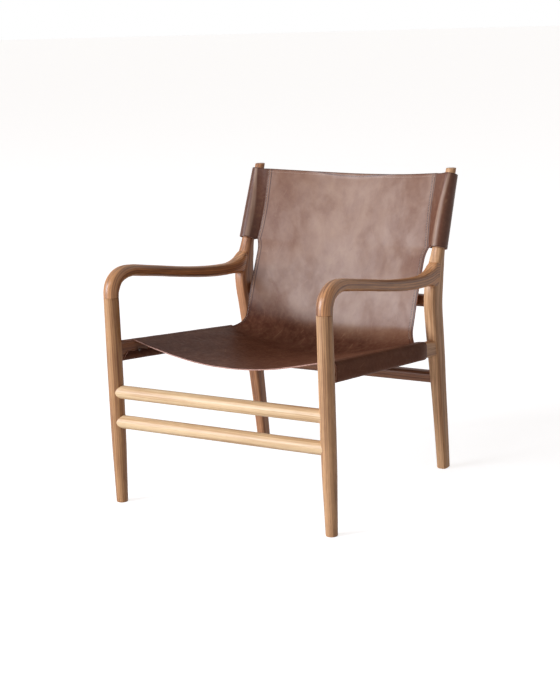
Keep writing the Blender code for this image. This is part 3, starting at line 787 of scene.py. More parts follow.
@dataclass(frozen=True)
class PlainFinish:
    """A small thing's finish: one colour broken up by clouds and a fine bump."""

    name: str
    color: Triple
    second: Triple
    roughness: float
    scale: float
    metallic: float = 0.0
    bump: float = 0.3
    bump_depth: float = 0.0002
    fineness: float = 12
    roughness_play: float = 0.05

    def make(self, shared: SharedEffects) -> Material:
        """Builds the material.

        Args:
            shared: The shared effects.

        Returns:
            The material.
        """
        material, graph, shader = new_material(self.name)
        place = graph.add("TexCoord").outputs["Object"]
        fine = graph.noise(place, self.scale * self.fineness, 3.0, 0.6)
        low, high = self.roughness - self.roughness_play, self.roughness + self.roughness_play
        look = {
            "Base Color": graph.blend(shared.clouds(graph, place, self.scale), self.color, self.second),
            "Roughness": graph.remap(fine, 0.3, 0.7, low, high),
            "Normal": graph.bump(fine, self.bump, self.bump_depth),
            "Metallic": self.metallic,
        }
        graph.feed(shader, look)
        return material


class Finish(Enum):
    """Every finish of the chair."""

    WOOD = WoodFinish("oiled hardwood")
    ARM_WOOD = WoodFinish(
        "oiled hardwood of the arms", (0.66, 0.315, 0.130), (0.12, 0.034, 0.012), polish=0.75
    )
    FRONT_WOOD = WoodFinish(
        "oiled hardwood of the lighter front leg", (0.635, 0.358, 0.177), (0.14, 0.045, 0.016)
    )
    # A lighter copy of the wood, as painted light
    POST_WOOD = WoodFinish("oiled hardwood of the lighter post", (0.77, 0.46, 0.242), (0.30, 0.12, 0.045))
    # A darker copy of the wood, as painted shade
    DARK_WOOD = WoodFinish("oiled hardwood, darker board", (0.50, 0.232, 0.108), (0.12, 0.038, 0.016))
    # A darker copy of the wood for the pieces under and behind the hide, as painted shade
    RAIL_WOOD = WoodFinish("oiled hardwood of the rails", (0.31, 0.130, 0.060), (0.10, 0.032, 0.014))
    ROD_WOOD = WoodFinish("oiled hardwood of the rods", (0.83, 0.59, 0.335), (0.50, 0.27, 0.12))
    DOWEL = PlainFinish("plain dowel", (0.52, 0.32, 0.17), (0.36, 0.20, 0.10), 0.6, 180.0)
    GRAIN_SIDE = HideFinish("waxed hide")
    FLESH_SIDE = PlainFinish(
        "flesh side of the hide",
        (0.215, 0.110, 0.070),
        (0.255, 0.140, 0.092),
        0.86,
        90.0,
        bump=0.6,
        bump_depth=0.0006,
    )
    RAW_EDGE = PlainFinish("raw cut edge", (0.54, 0.31, 0.245), (0.38, 0.205, 0.155), 0.72, 240.0)
    THREAD = PlainFinish("waxed thread", (0.56, 0.42, 0.33), (0.42, 0.30, 0.22), 0.6, 500.0)
    # Thread painted dark, as painted shade on one seam row of each side
    DARK_THREAD = PlainFinish("dark thread", (0.09, 0.045, 0.030), (0.05, 0.025, 0.018), 0.6, 500.0)
    STEEL = PlainFinish(
        "darkened steel", (0.10, 0.075, 0.060), (0.05, 0.040, 0.035), 0.38, 300.0, metallic=1.0
    )

    @property
    def material(self) -> Material:
        """The finish's material, once it is made."""
        return bpy.data.materials[self.value.name]


# Each piece of wood with its finish and the board that it is cut from; some finishes are copies of the wood
# painted lighter or darker, as painted light and shade
BOARDS = {
    "front_leg_left": (Finish.FRONT_WOOD, 2),
    "front_leg_right": (Finish.WOOD, 3),
    # Painted light: the sitter's left post takes a lighter copy of the wood
    "rear_leg_left": (Finish.POST_WOOD, 1),
    # Painted shade: the sitter's right rear leg takes a darker copy of the wood
    "rear_leg_right": (Finish.DARK_WOOD, 2),
    "armrest_left": (Finish.ARM_WOOD, 3),
    "armrest_right": (Finish.ARM_WOOD, 3),
    # The sitter's left seat rail takes the post's lighter copy, as painted light
    "seat_rail_left": (Finish.POST_WOOD, 0),
    # Painted shade: the sitter's right seat rail takes a darker copy of the wood
    "seat_rail_right": (Finish.RAIL_WOOD, 0),
    "front_rung_lower": (Finish.ROD_WOOD, 0),
    "front_rung_upper": (Finish.ROD_WOOD, 0),
    # Painted shade: the stretcher and the back rail take the same darker copy
    "rear_stretcher": (Finish.RAIL_WOOD, 0),
    "back_rail": (Finish.RAIL_WOOD, 0),
}


# Wood
@dataclass
class Frame:
    """The sizes that the wooden pieces share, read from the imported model."""

    gap: float = 0.0003
    leg_spacing: float = 0.0
    leg_height: float = 0.0
    chair_height: float = 0.0
    axis_y: float = 0.0

    def __post_init__(self) -> None:
        """Reads the places of the front legs and the height of the posts."""
        low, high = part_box("front_leg_left")
        self.leg_spacing = low.x + high.x
        self.leg_height = high.z
        self.axis_y = (low.y + high.y) / 2
        self.chair_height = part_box("rear_leg_left")[1].z

    def point(self, across: float, depth: float, height: float) -> Vector:
        """A point of the chair from its distance across, depth behind the front legs and height."""
        return Vector((across, self.axis_y + depth, height))


@dataclass
class Member:
    """One piece of wood: rings of points through it, along which its grain runs."""

    name: str
    rings: Rings
    pith: float = 0.075
    pith_plays: tuple[Pair, Pair] = ((0.6, 1.3), (-0.25, 0.25))
    board_length: float = 3.0
    crosswise: float = 0.9
    end_sharpness: float = 1.5

    def make(self) -> Thing:
        """Builds the mesh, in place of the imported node, and writes the grain at each point.

        Returns:
            The piece.
        """
        finish, board = BOARDS[self.name]
        draft = Draft()
        draft.add_rings(self.rings)
        piece = make_object(f"{self.name}_wood", draft, [finish.material])
        self.write_grain(piece, random.Random(f"{self.name} {board}"))
        return fix_in_frame(piece, Slot.WOOD, self.name)

    def write_grain(self, piece: Thing, dice: random.Random) -> None:
        """Gives each point its place in the board and how much it shows end grain.

        Args:
            piece: The built piece.
            dice: Chooses where in the board it lies.
        """
        turn = Matrix.Rotation(dice.uniform(0.0, math.tau), 2)
        start = Vector([self.pith * dice.uniform(*play) for play in self.pith_plays])
        walked = dice.uniform(0.0, self.board_length)
        centres = [sum(ring, Vector()) / len(ring) for ring in self.rings]
        before, after = centres[:1] + centres, centres[1:] + centres[-1:]
        ways = [(b - a).normalized() for a, b in zip(before, after)]
        side_way = UPWARD if abs(ways[0].x) > self.crosswise else ACROSS
        places, ends = [], []
        for i, ring in enumerate(self.rings):
            walked += (centres[i] - before[i]).length if i else 0.0
            up = ways[i].cross(side_way)
            for point in ring:
                off = point - centres[i]
                flat = turn @ Vector((off.dot(side_way), off.dot(up))) + start
                places += [flat.x, flat.y, walked]
                shown = abs(piece.data.vertices[len(ends)].normal.dot(ways[i]))
                ends.append(shown**self.end_sharpness)
        write_at_points(piece, GRAIN, "FLOAT_VECTOR", places)
        write_at_points(piece, END_GRAIN, "FLOAT", ends)


@dataclass
class FrontLeg:
    """A round front leg that swells at seat height and tapers to the floor."""

    frame: Frame
    thick: float = 0.0391
    foot_thick: float = 0.0292
    foot_chamfer: float = 0.0025
    foot_steps: tuple = (0.35, 0.7, 1.0)
    joint_groove: float = 0.0007
    splay: float = 0.0016
    swell_shares: Table = ((0.0, 0.0), (0.15, 0.38), (0.30, 0.75), (0.50, 0.95), (0.72, 1.0), (1.0, 0.88))
    sides: int = 56
    rows: int = 48

    def half(self, height: float) -> float:
        """Half the leg's thickness at a height."""
        share = smooth_from(self.swell_shares, height / self.frame.leg_height, 1)
        return mix(self.foot_thick, self.thick, share) / 2

    def rings(self, side: Side) -> Rings:
        """Rings from the rounded foot to the joint with the arm.

        Args:
            side: The leg's side.

        Returns:
            The rings.
        """
        rows = [(0.0, -self.foot_chamfer)]
        for step in self.foot_steps:
            out = math.sqrt(1 - (1 - step) ** 2) - 1
            rows.append((self.foot_chamfer * step, self.foot_chamfer * out))
        top = self.frame.leg_height
        for i in range(1, self.rows):
            rows.append((mix(self.foot_chamfer, top - self.joint_groove, i / (self.rows - 1)), 0.0))
        rows.append((top, -self.joint_groove))
        rings = []
        for height, grown in rows:
            half = self.half(height) + grown
            across = self.frame.leg_spacing / 2 + self.splay * (1 - height / top) ** 2
            centre = self.frame.point(side.value * across, 0.0, height)
            rings.append(section_ring(centre, ACROSS, BACKWARD, (half, half), 0.0, self.sides))
        return rings


@dataclass
class RearLeg:
    """A bent rear leg that runs on as the post, deepest at the knee behind the arm.

    Each row of section_shares is a share of the height, then the shares of the width and
    of the depth, and how round the section is.
    """

    frame: Frame
    foot_spacing: float = 0.568
    post_spacing: float = 0.590
    foot_setback: float = 0.623
    knee_setback: float = 0.560
    knee_height: float = 0.500
    knee_radius: float = 0.240
    bow: float = 0.0035
    top_setback: float = 0.6706
    width: float = 0.0352
    depth: float = 0.0575
    squareness: float = 0.48
    foot_chamfer: float = 0.0025
    top_chamfer: float = 0.0015
    top_round: float = 0.3
    top_rise: float = 0.0016
    spread_shares: Table = ((0.0, 0.0), (0.53, 0.45), (0.66, 0.85), (1.0, 1.0))
    section_shares: Table = (
        (0.0, 0.78, 0.58, 0.0),
        (0.30, 0.90, 0.75, 0.0),
        (0.40, 0.97, 0.85, 0.0),
        (0.51, 1.0, 0.93, 0.0),
        (0.62, 1.0, 1.0, 0.0),
        (0.69, 0.97, 0.80, 0.1),
        (0.735, 0.93, 0.62, 0.6),
        (0.765, 0.905, 0.595, 1.0),
        (0.80, 0.89, 0.58, 1.0),
        (1.0, 0.75, 0.465, 1.0),
    )
    sides: int = 56
    rows: int = 110

    def setback(self, height: float) -> float:
        """Depth of the centre line: two runs joined by an arc at the knee.

        Args:
            height: Where to read it.

        Returns:
            Its depth behind the front legs.
        """
        low = (self.knee_setback - self.foot_setback) / self.knee_height
        high = (self.top_setback - self.knee_setback) / (self.frame.chair_height - self.knee_height)
        reach = self.knee_radius * math.tan((math.atan(high) - math.atan(low)) / 2)
        start = self.knee_height - reach * math.cos(math.atan(low))
        end = self.knee_height + reach * math.cos(math.atan(high))
        up = min(height / self.knee_height, 1.0)
        bow = self.bow * 4 * up * (1 - up)
        if height <= start:
            return self.knee_setback + low * (height - self.knee_height) + bow
        if height >= end:
            return self.knee_setback + high * (height - self.knee_height)
        share = (height - start) / (end - start)
        gained = low * share + (high - low) * share * share / 2
        return self.knee_setback + low * (start - self.knee_height) + (end - start) * gained + bow

    def across(self, height: float) -> float:
        """Distance from the middle plane at a height."""
        spread = smooth_from(self.spread_shares, height / self.frame.chair_height, 1)
        return mix(self.foot_spacing, self.post_spacing, spread) / 2

    def section(self, height: float, column: int) -> float:
        """One value of the section at a height."""
        return smooth_from(self.section_shares, height / self.frame.chair_height, column)

    def halves(self, height: float) -> Pair:
        """Half the width and half the depth at a height."""
        return self.width * self.section(height, 1) / 2, self.depth * self.section(height, 2) / 2

    def front(self, height: float) -> float:
        """Depth of the leg's front face at a height."""
        return self.setback(height) - self.halves(height)[1]

    def lean(self, height: float) -> float:
        """Angle in degrees at which the post leans back at a height."""
        rise = self.setback(height + self.foot_chamfer) - self.setback(height - self.foot_chamfer)
        return math.degrees(math.atan(rise / (2 * self.foot_chamfer)))

    def ring(self, side: Side, height: float, grown: float = 0.0) -> list[Vector]:
        """One ring of the leg.

        Args:
            side: The leg's side.
            height: Where it lies.
            grown: How far it stands out of the leg's surface.

        Returns:
            Its points.
        """
        half_width, half_depth = self.halves(height)
        centre = self.frame.point(side.value * self.across(height), self.setback(height), height)
        halves = (half_width + grown, half_depth + grown)
        squareness = mix(self.squareness, 0.0, self.section(height, 3))
        return section_ring(centre, ACROSS, BACKWARD, halves, squareness, self.sides)

    def rings(self, side: Side) -> Rings:
        """Rings from the foot to the rounded post top.

        Args:
            side: The leg's side.

        Returns:
            The rings.
        """
        top = self.frame.chair_height + self.top_rise
        rings = [self.ring(side, 0.0, -self.foot_chamfer)]
        for i in range(self.rows):
            height = mix(self.foot_chamfer, top - self.top_chamfer, i / (self.rows - 1))
            rings.append(self.ring(side, height))
        rounded = self.top_chamfer * self.top_round
        rings.append(self.ring(side, top - rounded, -rounded))
        rings.append(self.ring(side, top, -self.top_chamfer))
        return rings


@dataclass
class Armrest:
    """An arm: a bend up from the front leg, a slim run and a flare into the post.

    Each row of line_shares is a share of the way back, then the shares of the drop, of
    the flare and of the widening, the squareness and how far it leans with the post.
    """

    frame: Frame
    front: FrontLeg
    rear: RearLeg
    bend_rise: float = 0.0580
    bend_reach: float = 0.070
    bend_crest: float = 0.972
    bend_fullness: float = 2.38
    bend_degrees: float = 99.0
    bend_haste: float = 1.5
    bend_look: float = 0.01
    bend_steps: int = 12
    elbow: float = 0.0017
    elbow_shift: float = 0.55
    thinning: float = 2.8
    neck: float = 0.001
    drop: float = 0.0626
    width: float = 0.038
    height: float = 0.0282
    flare_height: float = 0.068
    proud: float = 0.0004
    squareness: float = 0.2
    housing_share: float = 0.65
    line_shares: Table = (
        (0.170, 0.060, 0.038, 0.0, 0.20, 0.0),
        (0.342, 0.318, 0.005, 0.0, 0.20, 0.0),
        (0.532, 0.612, 0.005, 0.1, 0.20, 0.0),
        (0.702, 0.832, 0.043, 0.4, 0.20, 0.0),
        (0.823, 0.938, 0.072, 0.7, 0.20, 0.0),
        (0.894, 0.968, 0.080, 0.9, 0.26, 0.0),
        (0.944, 0.953, 0.185, 1.0, 0.33, 0.2),
        (0.980, 0.915, 0.385, 1.0, 0.43, 0.6),
        (1.010, 0.863, 0.903, 1.0, 0.50, 1.0),
    )
    sides: int = 56
    rows: int = 150

    def line_height(self, share: float) -> float:
        """Height of the arm's line for a share of its drop."""
        return self.frame.leg_height + self.neck + self.bend_rise - self.drop * share

    def rear_height(self) -> float:
        """Height at which the line meets the post."""
        return self.line_height(self.line_shares[-1][1])

    def bend_point(self, share: float) -> Pair:
        """A point of the bend's line, a little squarer than a quarter of an ellipse.

        Args:
            share: The share of the bend.

        Returns:
            Its depth and height.
        """
        turned = math.radians(self.bend_degrees * share)
        c, s = math.cos(turned), math.sin(turned)
        power = 2 / self.bend_fullness
        depth = self.bend_reach * (1 - math.copysign(abs(c) ** power, c))
        rise = self.bend_rise * mix(1.0, self.bend_crest, eased(share * self.bend_haste))
        return depth, self.frame.leg_height + self.neck + rise * s**power

    def bend_knots(self) -> list[tuple[float, ...]]:
        """Rows of depth, height, direction, half width, half height and squareness.

        Returns:
            The rows, from the joint with the leg to the end of the bend.
        """
        half = self.front.half(self.frame.leg_height)
        knots = [(0.0, self.frame.leg_height + self.frame.gap, 90.0, half, half, 0.0)]
        for i in range(1, self.bend_steps + 1):
            share = i / self.bend_steps
            depth, height = self.bend_point(share)
            before, after = (self.bend_point(share + step) for step in (-self.bend_look, self.bend_look))
            way = math.atan2(after[1] - before[1], after[0] - before[0])
            swell = self.elbow * max(0.0, math.sin(math.tau * share)) ** 2
            depth += self.elbow_shift * swell * math.sin(way)
            height -= self.elbow_shift * swell * math.cos(way)
            half_width = mix(half, self.width / 2, share)
            half_height = mix(half, self.height / 2, share**self.thinning) + swell
            row = (depth, height, math.degrees(way), half_width, half_height, self.squareness * share)
            knots.append(row)
        return knots

    def line_knots(self, before: tuple[float, ...]) -> list[tuple[float, ...]]:
        """Rows as above from the bend to the end in the post.

        Args:
            before: The bend's last row.

        Returns:
            The rows.
        """
        height_there = self.rear_height()
        reach = self.rear.front(height_there)
        flush = self.rear.halves(height_there)[0] + self.proud
        lean = -self.rear.lean(height_there)
        points = [(reach * row[0], self.line_height(row[1])) for row in self.line_shares]
        knots = []
        for i, (_, _, flare, widened, squareness, leaning) in enumerate(self.line_shares):
            last = points[i - 1] if i else before[:2]
            coming = points[min(i + 1, len(points) - 1)]
            way = math.degrees(math.atan2(coming[1] - last[1], coming[0] - last[0]))
            half_height = mix(self.height, self.flare_height, flare) / 2
            half_width = mix(self.width / 2, flush, widened)
            knots.append((*points[i], mix(way, lean, leaning), half_width, half_height, squareness))
        housed = reach + self.rear.halves(height_there)[1] * self.housing_share
        knots.append((housed, height_there, lean, flush, self.flare_height / 2, knots[-1][5]))
        return knots

    def ring(self, side: Side, row: Sequence[float], grown: float = 0.0) -> list[Vector]:
        """One ring of the arm from a row of values.

        Args:
            side: The arm's side.
            row: Depth, height, direction, half width, half height and squareness.
            grown: How far it stands out of the arm's surface.

        Returns:
            Its points.
        """
        depth, height, way, half_width, half_height, squareness = row
        angle = math.radians(way)
        share = depth / self.rear.front(self.rear_height())
        across = mix(self.frame.leg_spacing, self.rear.post_spacing, min(share, 1.0)) / 2
        centre = self.frame.point(side.value * across, depth, height)
        up = Vector((0.0, -math.sin(angle), math.cos(angle)))
        halves = (half_width + grown, half_height + grown)
        return section_ring(centre, -ACROSS, up, halves, squareness, self.sides)

    def rings(self, side: Side) -> Rings:
        """Rings along the whole arm, smooth through every row of values.

        Args:
            side: The arm's side.

        Returns:
            The rings.
        """
        knots = self.bend_knots()
        knots += self.line_knots(knots[-1])
        walked = [0.0]
        for before, after in zip(knots, knots[1:]):
            walked.append(walked[-1] + math.hypot(after[0] - before[0], after[1] - before[1]))
        table = [(at, *knot) for at, knot in zip(walked, knots)]
        groove = self.front.joint_groove
        rings = [self.ring(side, knots[0], -groove)]
        for i in range(self.rows):
            at = mix(groove, walked[-1], i / (self.rows - 1))
            rings.append(self.ring(side, [smooth_from(table, at, column) for column in range(1, 7)]))
        return rings


@dataclass
class SeatRail:
    """A tapered bar from front leg to rear leg that the hide wraps."""

    frame: Frame
    front: FrontLeg
    rear: RearLeg
    thick: float = 0.024
    front_tall: float = 0.0438
    rear_tall: float = 0.0400
    front_height: float = 0.3892
    rear_height: float = 0.3347
    corner: float = 0.007
    corner_steps: int = 8
    tenon_share: float = 0.5
    rows: int = 24

    def share(self, depth: float) -> float:
        """Share of the way from the front leg's axis to the rear leg's."""
        return depth / self.rear.setback(self.rear_height)

    def centre(self, side: Side, depth: float) -> Vector:
        """Middle of the bar.

        Args:
            side: The rail's side.
            depth: Where along the bar.

        Returns:
            The point.
        """
        share = self.share(depth)
        across = mix(self.frame.leg_spacing / 2, self.rear.across(self.rear_height), share)
        height = mix(self.front_height, self.rear_height, share)
        return self.frame.point(side.value * across, depth, height)

    def corner_point(
        self, side: Side, depth: float, signs: tuple[int, int], degrees: float, offset: float
    ) -> Vector:
        """A point on or off one rounded corner of the bar.

        Args:
            side: The rail's side.
            depth: Where along the bar.
            signs: Outer or inner, and upper or lower.
            degrees: The angle round the corner.
            offset: Distance from the wood.

        Returns:
            The point.
        """
        reach = self.corner + offset
        half_tall = mix(self.front_tall, self.rear_tall, self.share(depth)) / 2
        across = signs[0] * (self.thick / 2 - self.corner) + reach * math.cos(math.radians(degrees))
        rise = signs[1] * (half_tall - self.corner) + reach * math.sin(math.radians(degrees))
        return self.centre(side, depth) + Vector((side.value * across, 0.0, rise))

    def outline(self, side: Side, depth: float) -> list[Vector]:
        """Points all round the bar, from the top inner corner over the top and outwards.

        Args:
            side: The rail's side.
            depth: Where along the bar.

        Returns:
            The points.
        """
        points = []
        for number, signs in enumerate(((-1, 1), (1, 1), (1, -1), (-1, -1))):
            for step in range(self.corner_steps + 1):
                degrees = 180.0 - 90.0 * number - 90.0 * step / self.corner_steps
                points.append(self.corner_point(side, depth, signs, degrees, 0.0))
        return points

    def rings(self, side: Side) -> Rings:
        """Rings from inside the front leg to inside the rear leg.

        Args:
            side: The rail's side.

        Returns:
            The rings.
        """
        start = self.front.half(self.front_height) * self.tenon_share
        end = self.rear.setback(self.rear_height)
        rings = [self.outline(side, mix(start, end, i / self.rows)) for i in range(self.rows + 1)]
        return [ring[::-1] for ring in rings] if side is Side.RIGHT else rings


@dataclass
class Rods:
    """The four rods across the chair: two front rungs, a stretcher and a rail behind the hide."""

    frame: Frame
    rear: RearLeg
    rung_thick: float = 0.0342
    rung_heights: tuple = (("front_rung_lower", 0.2105), ("front_rung_upper", 0.2871))
    bar_thick: float = 0.0318
    bar_squareness: float = 0.333
    bar_places: tuple = (("rear_stretcher", 0.2535, 0.0), ("back_rail", 0.458, 0.011))
    sides: int = 48
    rows: int = 40

    def members(self) -> list[Member]:
        """Every rod as a member, from inside one leg to inside the other.

        Returns:
            The members.
        """
        made = []
        for name, height in self.rung_heights:
            made.append(self.rod(name, (self.frame.leg_spacing / 2, 0.0, height), self.rung_thick, 0.0))
        for name, height, behind in self.bar_places:
            end = (self.rear.across(height), self.rear.setback(height) + behind, height)
            made.append(self.rod(name, end, self.bar_thick, self.bar_squareness))
        return made

    def rod(self, name: str, end: Triple, thick: float, squareness: float) -> Member:
        """One rod, from inside the right leg to inside the left leg.

        Args:
            name: Its name.
            end: Distance across, depth and height of its left end.
            thick: Its thickness.
            squareness: Its section's squareness.

        Returns:
            The member.
        """
        reach, depth, height = end
        rings = []
        for i in range(self.rows + 1):
            centre = self.frame.point(mix(-reach, reach, i / self.rows), depth, height)
            ring = section_ring(centre, BACKWARD, UPWARD, (thick / 2, thick / 2), squareness, self.sides)
            rings.append(ring)
        return Member(name, rings)


# Hide
class Zone(Enum):
    """What the hide does at the ends of a row: it wraps a rail, hangs free or rounds a post."""

    SEAT = "seat"
    PANEL = "panel"
    SLEEVE = "sleeve"


@dataclass
class HideRow:
    """One row of the hide across the chair, from depths and heights at its edge and middle."""

    zone: Zone
    edge: Vector
    middle: Vector
    half: float
    share: float
    half_flat: float = 0.0


@dataclass
class HidePoint:
    """A point of the hide's middle layer, its place on the flat hide and its normal."""

    row: HideRow
    spot: Vector
    flat: Vector
    index: int
    normal: Vector = field(default_factory=Vector)


@dataclass(frozen=True)
class Wave:
    """Soft swells of the hide: how often they turn across and along, their place and height."""

    across: float
    along: float
    place: float
    height: float
    raised: float = 0.0

    def at(self, across: float, along: float) -> float:
        """Their height at a place of the flat hide."""
        spot = Vector((across * self.across, along * self.along, self.place))
        return (noise.noise(spot) + self.raised) * self.height


@dataclass
class Seam:
    """Separate stitches along a path, each dipping into the hide at its ends."""

    name: str
    path: Path
    surface: float
    pitch: float = 0.0042
    pitch_play: float = 0.0004
    length: float = 0.0032
    length_play: Pair = (0.92, 1.06)
    thick: float = 0.0009
    sunk: float = -0.6
    proud: float = 0.22
    end_thin: float = 0.55
    arch_powers: Pair = (0.6, 0.5)
    flattening: Pair = (1.1, 0.85)
    look_ahead: float = 0.001
    steps: int = 6
    sides: int = 8
    walked: list[float] = field(default_factory=lambda: [0.0])

    def __post_init__(self) -> None:
        """Measures the path."""
        for (before, _), (after, _) in zip(self.path, self.path[1:]):
            self.walked.append(self.walked[-1] + (after - before).length)

    def at(self, distance: float) -> tuple[Vector, Vector]:
        """Place and normal on the path.

        Args:
            distance: How far along it.

        Returns:
            The place and the normal.
        """
        row = 0
        while row < len(self.walked) - 2 and distance > self.walked[row + 1]:
            row += 1
        share = (distance - self.walked[row]) / (self.walked[row + 1] - self.walked[row])
        (low, low_normal), (high, high_normal) = self.path[row : row + 2]
        return low.lerp(high, share), low_normal.lerp(high_normal, share).normalized()

    def stitch(self, begin: float, length: float) -> Rings:
        """One stitch.

        Args:
            begin: Where along the path it comes out of the hide.
            length: How long it is.

        Returns:
            Its rings.
        """
        rings = []
        for step in range(self.steps + 1):
            share = step / self.steps
            place = begin + length * share
            spot, normal = self.at(min(place, self.walked[-1]))
            ahead = self.at(min(place + self.look_ahead, self.walked[-1] + self.look_ahead))[0]
            along = (ahead - spot).normalized()
            across = normal.cross(along).normalized()
            arch = math.sin(math.pi * share)
            rise = self.surface + self.thick * mix(self.sunk, self.proud, arch ** self.arch_powers[0])
            half = self.thick / 2 * mix(self.end_thin, 1.0, arch ** self.arch_powers[1])
            halves = (half * self.flattening[0], half * self.flattening[1])
            ring = section_ring(spot + normal * rise, across, along.cross(across), halves, 0.0, self.sides)
            rings.append(ring[::-1])
        return rings

    def make(self, thread: Finish) -> Thing:
        """Lays every stitch of the row.

        Args:
            thread: The thread's finish.

        Returns:
            The row of stitches.
        """
        dice = random.Random(self.name)
        draft = Draft()
        for number in range(int(self.walked[-1] / self.pitch)):
            begin = number * self.pitch + dice.uniform(0.0, self.pitch_play)
            draft.add_rings(self.stitch(begin, self.length * dice.uniform(*self.length_play)))
        return fix_in_frame(make_object(self.name, draft, [thread.material]), Slot.LEATHER)


@dataclass
class Hide:
    """The hide: seat, back, rail wraps and post sleeves, all of one piece."""

    frame: Frame
    rail: SeatRail
    rear: RearLeg
    thick: float = 0.003
    flatness: float = 0.14
    seat_sag: float = 0.0455
    seat_front: float = 0.0565
    corner_back: float = 0.015
    wrap_front: float = 0.0212
    flap_cut: float = 0.0150
    seat_rear: float = 0.478
    wrap_rear: float = 0.499
    flap_rise: float = 0.0135
    wrap_turn_share: float = 0.72
    wrap_steps: tuple = (3, 5, 6, 8)
    crease_radius: float = 0.048
    crease_middle_radius: float = 0.110
    corner_fullness: float = 1.3
    rake: float = 0.406
    edge_setback: float = 0.5138
    edge_height: float = 0.386
    edge_bow: float = 0.003
    bow_low: float = 0.012
    bow_high: float = 0.018
    top_sag: float = 0.010
    top_skew: float = 0.0012
    back_width: float = 0.514
    sleeve_bottom: float = 0.593
    sleeve_top: float = 0.7785
    sleeve_ease: float = 0.0014
    sleeve_tilt: float = 0.38
    sleeve_flap: float = 0.010
    sleeve_flare: float = 0.008
    flare_lengths: Pair = (0.024, 0.110)
    top_widening: float = 0.0025
    top_forward: float = 0.0135
    seat_rows: int = 64
    crease_rows: int = 26
    panel_rows: int = 34
    sleeve_rows: int = 44
    half_columns: int = 56
    column_bunching: float = 0.35
    sleeve_steps: int = 40
    straight_steps: int = 7
    flap_steps: int = 3
    free_reach: float = 0.05
    seat_waves: tuple = (Wave(7, 5, 4.2, 0.0016), Wave(21, 15, 9.7, 0.00045))
    sleeve_wave: Wave = Wave(60, 7, 2.0, 0.0004, 0.6)
    wrap_wave: Wave = Wave(40, 30, 6.0, 0.00025, 0.6)
    flap_waves: tuple = (Wave(24, 3.1, 0.0, 0.006), Wave(70, 5.7, 1.0, 0.0018))
    fold_turns: Pair = (52, 38)
    fold_height: float = 0.0007
    fold_reach: float = 0.12
    fold_side: Pair = (0.35, 0.4)
    hem_rise: float = 0.0007
    hem_width: float = 0.010
    hem_round: float = 0.0015
    edge_round: float = 0.0006
    edge_steps: int = 2
    edge_degrees: float = 60.0
    cutting_waste: float = 0.002
    seam_insets: Pair = HideFinish.seam_insets
    seam_start_rows: int = 12
    hem_seam: float = HideFinish.hem_inset
    hem_rows: int = 14
    length: float = 0.0
    crease_place: float = 0.0
    lines: list[list[HidePoint]] = field(default_factory=list)
    points: list[HidePoint] = field(default_factory=list)

    def hang(self, share: float) -> float:
        """How far the hide hangs between its edges, from 0 at an edge to 1 in the middle."""
        return mix(1 - share**2, (1 + math.cos(math.pi * share)) / 2, self.flatness)

    def leaving_angle(self) -> float:
        """Angle round the rail's top corner at which the seat leaves the wood, in degrees."""
        half = self.frame.leg_spacing / 2 - self.rail.thick / 2
        return 90.0 + math.degrees(math.atan(2 * (1 - self.flatness) * self.seat_sag / half))

    def offset(self) -> float:
        """Distance from the wood to the middle of the hide."""
        return self.frame.gap + self.thick / 2

    def seat_edge(self, depth: float) -> Pair:
        """Distance across and height at which the hide leaves the rail."""
        point = self.rail.corner_point(Side.LEFT, depth, (-1, 1), self.leaving_angle(), self.offset())
        return point.x, point.z

    def profile(self, front: float, lowered: float, set_back: float, radius: float) -> list[Vector]:
        """Depths and heights of the rows from the front to the foot of the back.

        Args:
            front: The depth at which they start.
            lowered: How far the line hangs below the rails.
            set_back: How far it stands behind the line of the back.
            radius: Rounds the crease where the two lines meet.

        Returns:
            The rows' depths and heights.
        """
        front_height = self.seat_edge(front)[1]
        fall = (self.seat_edge(self.seat_rear)[1] - front_height) / (self.seat_rear - front)
        front_height -= lowered
        seat_way = math.atan(fall)
        back_way = math.pi / 2 - math.atan(self.rake)
        reach = self.edge_setback + set_back + self.rake * (front_height - self.edge_height)
        depth = (reach - self.rake * fall * front) / (1 - self.rake * fall)
        corner = Vector((depth, front_height + fall * (depth - front)))
        along = Vector((math.cos(seat_way), math.sin(seat_way)))
        begin = corner - along * radius * math.tan((back_way - seat_way) / 2)
        hub = begin + Vector((-along.y, along.x)) * radius
        rows = []
        for i in range(self.seat_rows):
            at = mix(front, begin.x, i / self.seat_rows)
            rows.append(Vector((at, front_height + fall * (at - front))))
        for i in range(self.crease_rows + 1):
            way = mix(seat_way, back_way, i / self.crease_rows)
            rows.append(hub + Vector((math.sin(way), -math.cos(way))) * radius)
        return rows

    def back_edge(self, height: float) -> float:
        """Depth of the back's side edge.

        Args:
            height: Where to read it.

        Returns:
            Its depth behind the front legs.
        """
        share = (height - self.edge_height) / (self.sleeve_bottom - self.edge_height)
        bow = self.edge_bow * math.sin(math.pi * held(share)) ** 2
        above = max(height - self.sleeve_bottom, 0.0) / (self.sleeve_top - self.sleeve_bottom)
        forward = self.top_forward * above**1.5
        return self.edge_setback + self.rake * (height - self.edge_height) - bow - forward

    def rows(self) -> list[HideRow]:
        """Every row from the seat's front edge to the top of the back.

        Returns:
            The rows.
        """
        edge = self.profile(self.seat_front + self.corner_back, 0.0, 0.0, self.crease_radius)
        middle = self.profile(self.seat_front, self.seat_sag, self.bow_low, self.crease_middle_radius)
        rail_half = self.seat_edge(edge[self.seat_rows].x)[0]
        rows = []
        for i, (at_edge, at_middle) in enumerate(zip(edge, middle)):
            zone, share, half = Zone.SEAT, i / self.seat_rows, self.seat_edge(at_edge.x)[0]
            if i > self.seat_rows:
                zone, share = Zone.PANEL, (i - self.seat_rows) / self.crease_rows
                fullness = math.sin(share * math.pi / 2) ** self.corner_fullness
                half = mix(rail_half, self.back_width / 2, fullness)
            rows.append(HideRow(zone, at_edge, at_middle, half, share))
        return rows + self.back_rows(edge[-1].y, middle[-1].y)

